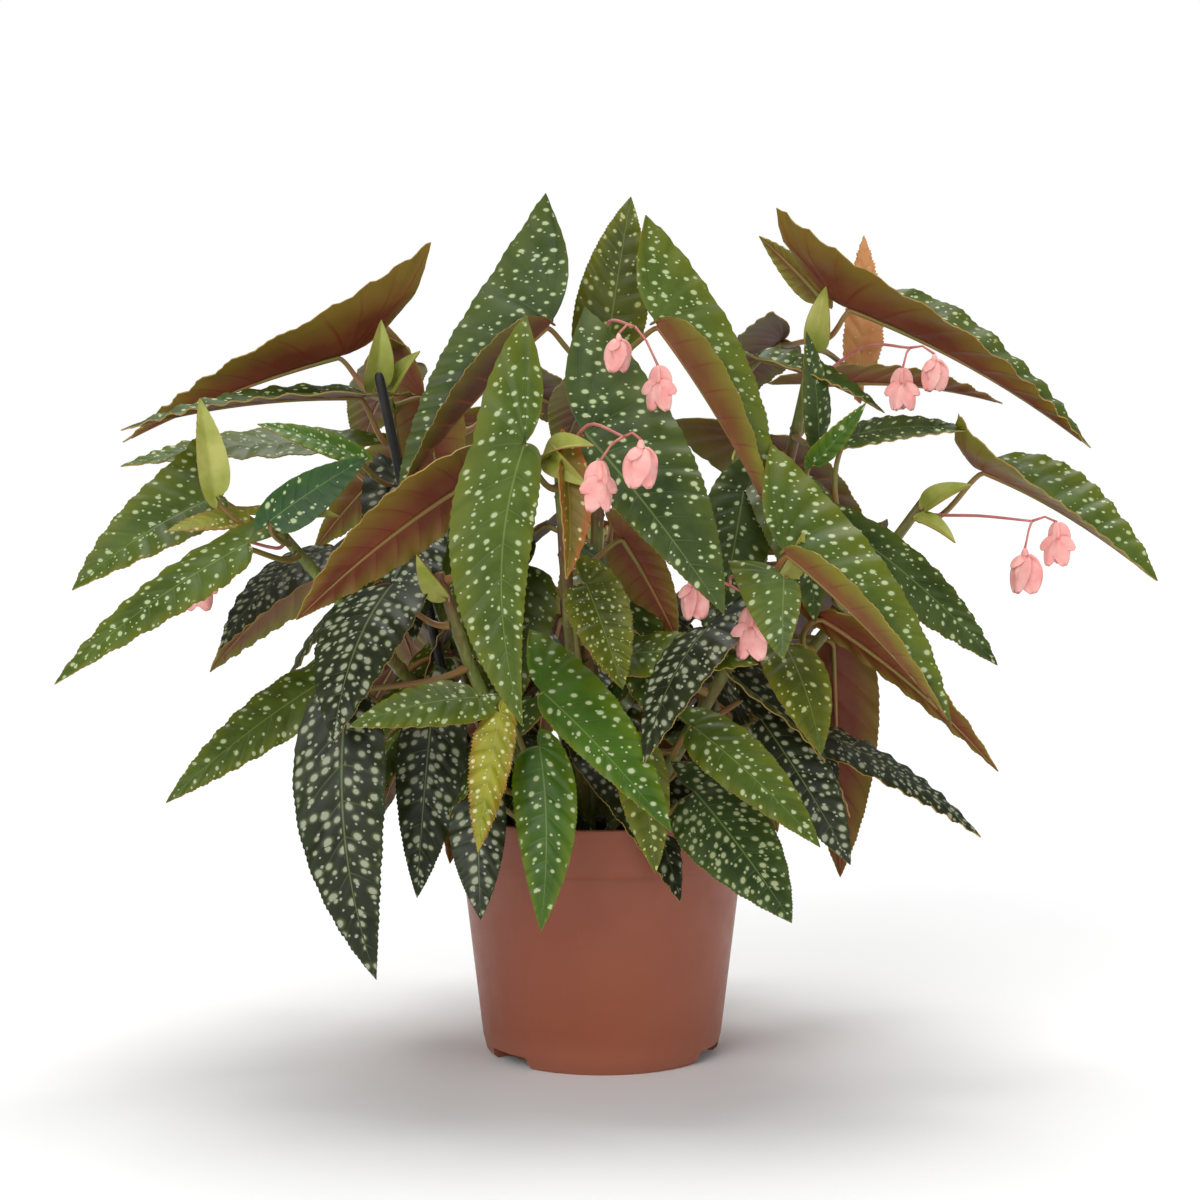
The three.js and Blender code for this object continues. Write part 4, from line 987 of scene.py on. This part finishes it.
# %% Colours of young growth
UPPERS["stipule"] = plain_skin("stipule", "8f9a34", "b9b862", 70, 0.5)
UNDERS["stipule"] = plain_skin("stipule_back", "86922f", "b0b05a", 70, 0.55)
UPPERS["young_gold"] = upper_side("young_gold", "7e8420", "a6a032", "9c742a", srgb("d8d6a0"))
UNDERS["young_gold"] = under_side("young_gold_back", "9a8434", "a89640", "b3a04a", "b07a40")
UPPERS["young_copper"] = upper_side("young_copper", "cb8450", "dca36a", "cf945a",
                                    srgb("ecc898"), 0.08)
UNDERS["young_copper"] = under_side("young_copper_back", "c67c4a", "d69a64", "d6a468", "8a4420")
UPPERS["young_flush"] = upper_side("young_flush", "6a5a16", "86701f", "b4562a",
                                   srgb("d8c98c"), 0.18)
UNDERS["young_flush"] = under_side("young_flush_back", "a8522a", "bd6e36", "b88638", "7a2c14")
UPPERS["young_glossy"] = upper_side("young_glossy", "1b3a12", "2a4f1d", "34571a", kept=0.6)
UNDERS["young_glossy"] = under_side("young_glossy_back", "4a2c14", "5f3c1a", "5f561c", "80431f")
YOUNG = {"young_left": "young_gold", "young_orange": "young_flush", "young_peak": "leaf_bronze",
         "young_copper": "young_copper", "young_spear": "leaf_bright", "young_yellow": "young_gold",
         "young_crinkled": "leaf_bronze", "young_back": "leaf_bright", "inner_red": "leaf_red_back",
         "young_spear_left": "stipule", "small_left": "leaf_bright", "glossy_left": "young_glossy",
         "brown_top_left": "leaf_red_back", "olive_front": "leaf_bronze",
         "dark_tip_right": "leaf_dark"}

# %% Places of the shoots
SHOOTS = [
    ("young_left", "left", 1, 284, (-182, -52, 291), (-220, -72, 283), (-0.1, -0.6, 0.8), -1,
     dict(broad=0.3, slim=0.26, lobe=0.5)),
    ("young_orange", "centre", 0, 318, (-18, -126, 318), (-17, -142, 262), (0.5, -1, 0.1), 1,
     dict(broad=0.3, slim=0.26, lobe=0.3, fold=(40, 50), arch=0.08)),
    ("young_peak", "right", 0, 390, (118, 6, 404), (84, 8, 438), (0.3, 1, 0.5), 1,
     dict(broad=0.24, slim=0.2, lobe=0.15)),
    ("young_copper", "right", 0, 378, (144, 52, 368), (146, 62, 443), (0.2, -1, 0.1), 1,
     dict(broad=0.2, slim=0.18, lobe=0.25, relief=2.4)),
    ("young_spear", "right", 1, 252, (106, -74, 316), (131, -92, 347), (0.5, -0.8, 0.3), 1,
     dict(broad=0.22, slim=0.16, lobe=0.1)),
    ("young_yellow", "front", 1, 160, (-50, -122, 196), (-60, -140, 130), (-0.1, -1, 0.2), 1,
     dict(broad=0.2, slim=0.18, lobe=0.12, relief=3.0, cell=5.0)),
    ("young_crinkled", "front", 0, 150, (-8, -106, 258), (10, -130, 208), (0.3, -1, 0.3), 1,
     dict(broad=0.42, slim=0.34, lobe=0.3, fold=(34, 20), relief=2.4, cell=4.2)),
    ("young_back", "back", 2, 268, (8, 146, 300), (28, 160, 340), (0, 1, 0.3), 1,
     dict(broad=0.24, slim=0.2, lobe=0.15)),
    ("inner_red", "centre", 0, 262, (10, -82, 280), (38, -76, 228), (0.3, 0.8, 0.4), -1,
     dict(broad=0.36, slim=0.3, lobe=0.3)),
    ("inner_left", "left", 0, 262, (-70, -28, 290), (-62, -66, 214), (-0.2, -0.9, 0.4), 1,
     dict(broad=0.34, slim=0.28, lobe=0.3)),
    ("inner_right", "right", 0, 270, (74, -30, 302), (60, -66, 236), (0.1, -0.9, 0.4), -1,
     dict(broad=0.34, slim=0.28, lobe=0.3)),
    ("inner_shade", "centre", 1, 240, (-40, -8, 262), (-58, -34, 170), (-0.2, -0.9, 0.3), -1,
     dict(broad=0.32, slim=0.24, lobe=0.2)),
    ("left_skirt_back", "left", 0, 176, (-84, 40, 192), (-128, 60, 110), (-0.8, 0.5, 0.4), 1,
     dict(broad=0.3, slim=0.22, lobe=0.25, arch=0.07)),
    ("right_skirt_back", "right", 0, 168, (84, 44, 186), (122, 68, 106), (0.8, 0.5, 0.35), -1,
     dict(broad=0.3, slim=0.22, lobe=0.25, arch=0.07)),
    ("left_side", "left", 0, 216, (-112, 22, 236), (-196, 28, 168), (-0.6, -0.05, 0.8), -1,
     dict(broad=0.28, slim=0.22, lobe=0.3, arch=0.07)),
    ("left_back_top", "left", 0, 342, (-108, 44, 372), (-142, 126, 322), (-0.3, 0.6, 0.8), 1,
     dict(broad=0.3, slim=0.2, lobe=0.45, hook=30, arch=0.07)),
    ("right_back_top", "right", 0, 380, (100, 40, 384), (70, 120, 344), (0, 0.65, 0.8), 1,
     dict(broad=0.3, slim=0.2, lobe=0.45, hook=30, arch=0.07)),
    ("crown_back", "centre", 1, 346, (-2, 16, 360), (-24, 92, 318), (-0.1, 0.6, 0.8), 1,
     dict(broad=0.3, slim=0.22, lobe=0.4, hook=20, arch=0.07)),
    ("back_fill_left", "back", 0, 176, (-52, 100, 198), (-86, 134, 116), (-0.35, 1, 0.3), 1,
     dict(broad=0.3, slim=0.22, lobe=0.2, arch=0.07)),
    ("back_fill_right", "back", 1, 170, (66, 92, 178), (104, 122, 98), (0.5, 0.9, 0.3), -1,
     dict(broad=0.3, slim=0.22, lobe=0.2, arch=0.07)),
    ("back_fill_centre", "back", 2, 208, (-24, 136, 226), (-40, 172, 138), (-0.15, 1, 0.3), -1,
     dict(broad=0.3, slim=0.24, lobe=0.25, arch=0.07)),
    ("young_spear_left", "left", 1, 284, (-196, -70, 300), (-203, -72, 350), (0.4, -1, 0.1), 1,
     dict(broad=0.24, slim=0.22, lobe=0.12, fold=(30, 30), relief=0.3)),
    ("small_left", "left", 0, 306, (-124, -52, 320), (-176, -58, 337), (0.1, -0.8, 0.8), -1,
     dict(broad=0.22, slim=0.18, lobe=0.12, fold=(12, 12), relief=0.5, cell=5.0)),
    ("glossy_left", "left", 1, 276, (-166, -92, 288), (-117, -86, 320), (-0.2, -1, 0.5), 1,
     dict(broad=0.32, slim=0.26, lobe=0.14, relief=0.5, cell=7.5)),
    ("brown_top_left", "left", 0, 346, (-96, 14, 352), (-86, 4, 290), (0.5, 1, 0.2), 1,
     dict(broad=0.5, slim=0.4, lobe=0.8, hook=20, relief=0.8)),
    ("olive_front", "front", 0, 170, (18, -112, 178), (26, -130, 118), (0.2, -1, 0.2), 1,
     dict(broad=0.28, slim=0.24, lobe=0.12)),
    ("dark_tip_right", "right", 0, 330, (112, -44, 330), (104, -58, 384), (0.6, -1, 0.2), 1,
     dict(broad=0.22, slim=0.2, lobe=0.2, relief=0.6, cell=5.5)),
]
for number, row in enumerate(SHOOTS):
    finish = YOUNG.get(row[0], "leaf_green" if number % 2 else "leaf_dark")
    grow(row, 100 + number, "shoot_", finish)
print("shoots", len(SHOOTS))

# %% [markdown]
# ## The dark inside
# Between the leaves so far one looks into a thicket of older leaves. They need no exact
# places: each takes a branch of a cane, a height on it, a bearing from the front and a length,
# and hangs outwards and down from there, as leaves do when the light comes from above.

# %% Leaves of the thicket
THICKET = [
    ("centre", 0, 150, 40, 84), ("centre", 0, 185, -62, 92), ("centre", 0, 225, 100, 90),
    ("centre", 1, 160, 150, 96), ("centre", 1, 195, -128, 96), ("centre", 1, 235, 66, 104),
    ("centre", 1, 275, -100, 108), ("centre", 1, 310, 118, 104), ("centre", 1, 250, 20, 92),
    ("left", 0, 150, 24, 88), ("left", 0, 195, -36, 96), ("left", 0, 235, 70, 100),
    ("left", 0, 290, 6, 96), ("left", 0, 250, -78, 92), ("left", 1, 165, 62, 84),
    ("left", 1, 205, 108, 92), ("left", 1, 250, 150, 92),
    ("right", 0, 150, -24, 88), ("right", 0, 195, 46, 96), ("right", 0, 240, -64, 100),
    ("right", 0, 300, 8, 96), ("right", 0, 270, 82, 92), ("right", 1, 165, -66, 84),
    ("right", 1, 210, -112, 92), ("right", 1, 255, -150, 92),
    ("front", 0, 150, 140, 80), ("front", 0, 190, 96, 84), ("front", 1, 150, -140, 80),
    ("front", 1, 190, -92, 84), ("front", 0, 225, -40, 80),
    ("back", 0, 200, 30, 96), ("back", 0, 250, -24, 100), ("back", 1, 195, -34, 96),
    ("back", 1, 240, 22, 100), ("back", 2, 190, 4, 92), ("back", 2, 235, 150, 92),
]
STALK_REACH, STALK_RISE = 0.026, 0.012
OUTWARDS, DOWNWARDS = 0.62, 0.78
# The first and the last look are the darker copy whose spots carry painted shade.
LOOKS = ("leaf_dark_shaded", "leaf_dark", "leaf_red_back", "leaf_dark", "leaf_green", "leaf_dark_shaded")
for number, (cane, branch, height, bearing, size) in enumerate(THICKET):
    at, along = node_on(cane, branch, height)
    way = Quaternion((0, 0, 1), math.radians(bearing)) @ Vector((0, -1, 0))
    base = (at + way * STALK_REACH + Vector((0, 0, STALK_RISE))) * 1000
    tip = base + (way * OUTWARDS - Vector((0, 0, DOWNWARDS))) * size
    form = dict(broad=0.33, slim=0.22, lobe=0.38, hook=26, arch=0.09, cell=6.2)
    facing = way + Vector((0, 0, 0.5))
    start, out = beside_cane(cane, branch, height, base / 1000)
    look = LOOKS[number % len(LOOKS)]
    piece = leaf_piece(f"inner_{number}", (base, tip), facing, 1 if number % 2 else -1, form, look,
                       start, out, 200 + number)
    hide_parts(f"cane_{cane}")
print("inner leaves", len(THICKET))

# %% [markdown]
# ## Stipules
# Where a leaf joins a cane it leaves two papery, yellow-green scales. They wrap the tip of a
# shoot until the next leaf pushes out. Each is a short blade with hardly any lobe, folded
# like a trough, so the same grid makes it.

# %% Stipules at the shoot tips
STIPULES = [
    ("left", (-121, -10, 356), (-116, -18, 392), (0.3, -1, 0.1), 0.34),
    ("left", (-114, -6, 352), (-96, -14, 376), (-0.2, -1, 0.4), 0.3),
    ("left", (-168, -48, 284), (-146, -62, 306), (-0.1, -1, 0.4), 0.32),
    ("left", (-170, -50, 284), (-134, -62, 290), (0.1, -0.8, 0.7), 0.3),
    ("centre", (-28, -112, 318), (-4, -136, 326), (-0.2, -0.8, 0.8), 0.36),
    ("centre", (-26, -114, 322), (-6, -138, 306), (-0.6, -0.8, 0.2), 0.3),
    ("right", (114, -8, 376), (118, -14, 410), (-0.3, -1, 0.1), 0.34),
    ("right", (168, -34, 294), (190, -50, 306), (0.1, -0.9, 0.5), 0.34),
    ("right", (164, -36, 288), (182, -52, 276), (0.3, -0.9, 0.3), 0.3),
    ("front", (90, -106, 262), (98, -122, 284), (0.2, -1, 0.1), 0.32),
    ("front", (-80, -84, 250), (-92, -100, 272), (-0.3, -1, 0.1), 0.32),
    ("back", (-84, 122, 328), (-92, 132, 356), (-0.3, 1, 0.1), 0.34),
    ("back", (80, 126, 316), (90, 136, 342), (0.3, 1, 0.1), 0.34),
    ("back", (2, 152, 262), (-12, 164, 288), (0, 1, 0.2), 0.34),
]
for number, (cane, base, tip, facing, width) in enumerate(STIPULES):
    form = dict(broad=width, slim=width * 0.9, lobe=0.12, fold=(40, 40), arch=0.14, relief=0.0)
    piece = leaf_piece(f"stipule_{number}", (base, tip), facing, 1, form, "stipule",
                       seed=300 + number)
    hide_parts(f"cane_{cane}")
print("stipules", len(STIPULES))

# %% [markdown]
# ## The flowers
# Begonia flowers hang in small clusters on thin red stalks. A seed-bearing flower has two big
# round petals that close like a shell, two or three small ones, and above them an ovary with
# three papery wings. Each petal starts as a small grid, is narrowed into a rounded outline and
# is cupped, and Solidify gives it its fleshy thickness.

# %% Petal and stalk finishes
petal_skin, tree, place, shader = new_material("petal_pink")
blush = noise(tree, place, 130, 4)
pink = mixed(tree, fade(tree, blush, 0.3, 0.7), srgb("f49c98"), srgb("fdc2b8"))
wire(tree, shader, Base_Color=pink, Roughness=fade(tree, blush, 0.3, 0.7, 0.42, 0.55),
     Normal=bump(tree, noise(tree, place, 1100, 3), 0.3, 0.0003))
shader.inputs["Subsurface Weight"].default_value = 0.15
shader.inputs["Subsurface Radius"].default_value = (0.004, 0.0015, 0.001)
flower_stalk = plain_skin("flower_stalk", "b5605a", "cf8478", 80, 0.45)
print("petal finishes ready")


# %% One petal
PETAL_THICK = 0.0006


def petal(bm, root, hang, facing, length, width, cup):
    """A cupped petal that hangs from its root along one way and looks another."""
    sheet = bmesh.new()
    bmesh.ops.create_grid(sheet, x_segments=10, y_segments=10, size=1)
    hang = hang.normalized()
    face = (facing - hang * facing.dot(hang)).normalized()
    across = hang.cross(face)
    for vert in sheet.verts:
        down, side = (vert.co.x + 1) / 2, vert.co.y
        half = width / 2 * (math.sin(math.pi * min(0.06 + 0.90 * down, 1) ** 0.85) ** 0.6)
        rise = cup * (4 * down * (1 - down) - 0.9 * side * side * (half * 2 / width)) * length
        wavy = 0.02 * length * math.sin(5 * side + 3 * down)
        outwards = across * (half * side) + face * (rise + wavy * down)
        vert.co = root + hang * (length * down) + outwards
    bmesh.ops.solidify(sheet, geom=sheet.faces, thickness=-PETAL_THICK)
    bmesh.ops.recalc_face_normals(sheet, faces=sheet.faces)
    spare = bpy.data.meshes.new("petal")
    sheet.to_mesh(spare)
    sheet.free()
    bm.from_mesh(spare)
    bpy.data.meshes.remove(spare)


# %% One blossom
def blossom(bm, centre, radius, chance, closed):
    """Hangs from its winged ovary. A closed one is a shell of two petals, an open one has more."""
    turned, nodding = chance.uniform(-0.8, 0.8), chance.uniform(-0.2, 0.3)
    tilt = Quaternion((0, 0, 1), turned) @ Quaternion((1, 0, 0), nodding)
    way = lambda x, y, z: tilt @ Vector((x, y, z))
    top = centre + Vector((0, 0, 1.05 * radius))
    neck = centre + way(0, 0, (0.7 if closed else 0.3) * radius)
    sweep(bm, [top, top.lerp(neck, 0.35), top.lerp(neck, 0.75), neck],
          [radius * k for k in (0.07, 0.13, 0.17, 0.08)], 8)
    if closed:
        for x in (-1, 1):
            petal(bm, neck, way(0.24 * x, 0.06 * x, -1), way(0.45 * x, -1, 0.15), 1.6 * radius,
                  1.15 * radius, 0.10)
        petal(bm, neck, way(0.1, 0.3, -1), way(0, 1, 0.1), 1.5 * radius, 1.3 * radius, 0.12)
        petal(bm, neck, way(-0.8, -0.4, -0.7), way(-0.5, -1, 0.4), 0.75 * radius, 0.5 * radius, 0.1)
        return top
    for k in range(3):
        side = way(math.cos(2.09 * k + 0.5), math.sin(2.09 * k + 0.5), 0)
        petal(bm, top.lerp(neck, 0.15), (neck - top) + side * (radius * 0.55),
              side.cross(neck - top), 0.95 * radius, 0.62 * radius, 0.05)
    for x in (-1, 1):
        petal(bm, neck, way(0.34 * x, -0.1, -1), way(0.4 * x, -1, 0.1), 1.32 * radius,
              0.86 * radius, 0.12)
        petal(bm, neck, way(0.95 * x, 0.1, -0.55), way(0.3 * x, -1, 0.3), 0.95 * radius,
              0.6 * radius, 0.1)
    petal(bm, neck, way(0, 0.35, -1), way(0, -1, 0), 1.2 * radius, 0.9 * radius, -0.1)
    return top


# %% The clusters
CLUSTERS = [
    ("flowers_centre", "centre", 0, 324, ((-6, -134, 336), (10, -156, 330)),
    (((-1, -160, 306), 12), ((18, -164, 316), 12))),
    ("flowers_upper", "centre", 1, 378, ((4, -84, 388), (16, -104, 384)),
    (((8, -108, 370), 10), ((27, -118, 353), 11))),
    ("flowers_right_high", "right", 0, 364, ((138, -24, 378), (158, -48, 376)),
    (((154, -52, 354), 11), ((170, -54, 362), 10))),
    ("flowers_right_low", "right", 1, 294, ((194, -60, 290), (216, -80, 288)),
    (((212, -84, 262), 12), ((228, -84, 276), 11))),
    ("flowers_left_low", "left", 1, 276, ((-196, -40, 278), (-208, -44, 272)),
    (((-209, -46, 252), 12),)),
    ("flowers_front_right", "front", 0, 256, ((64, -112, 262), (62, -124, 258)),
    (((44, -118, 250), 11), ((72, -124, 234), 13))),
    ("flowers_back", "back", 2, 266, ((36, 152, 290), (52, 168, 288)),
    (((50, 172, 264), 11), ((66, 174, 274), 10))),
]
STALK_STEPS, STALK_RADIUS = 14, 0.0011
THREAD_RADII = (0.0008, 0.00065, 0.0006, 0.0006, 0.0007)

for number, (name, cane, branch, height, stalk, blossoms) in enumerate(CLUSTERS):
    chance = random.Random(500 + number)
    start, out = beside_cane(cane, branch, height, metres(stalk[0]))
    knots = [start * 1000, (start + out * 0.004) * 1000] + [Vector(p) for p in stalk]
    at = route(knots)
    bm = bmesh.new()
    line = [at(i / STALK_STEPS) for i in range(STALK_STEPS + 1)]
    sweep(bm, line, [STALK_RADIUS - 0.00003 * i for i in range(STALK_STEPS + 1)], 8, material=1)
    for index, (place_mm, radius_mm) in enumerate(blossoms):
        top = blossom(bm, metres(place_mm), radius_mm / 1000, chance, (index + number) % 2)
        sag = (line[-1] + top) / 2 + Vector((0, -0.001, 0.0025))
        thread = [line[-1], line[-1].lerp(sag, 0.6), sag, sag.lerp(top, 0.6), top]
        sweep(bm, thread, THREAD_RADII, 6, material=1)
    piece = mesh_object(f"{name}_bloom", bm, [petal_skin, flower_stalk])
    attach(piece, "root")
    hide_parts(name)
    print(piece.name, len(piece.data.polygons), "faces")

# %% [markdown]
# ## The last step
# The last line brings the view layer up to date.

# %% Bringing the view layer up to date
bpy.context.view_layer.update()
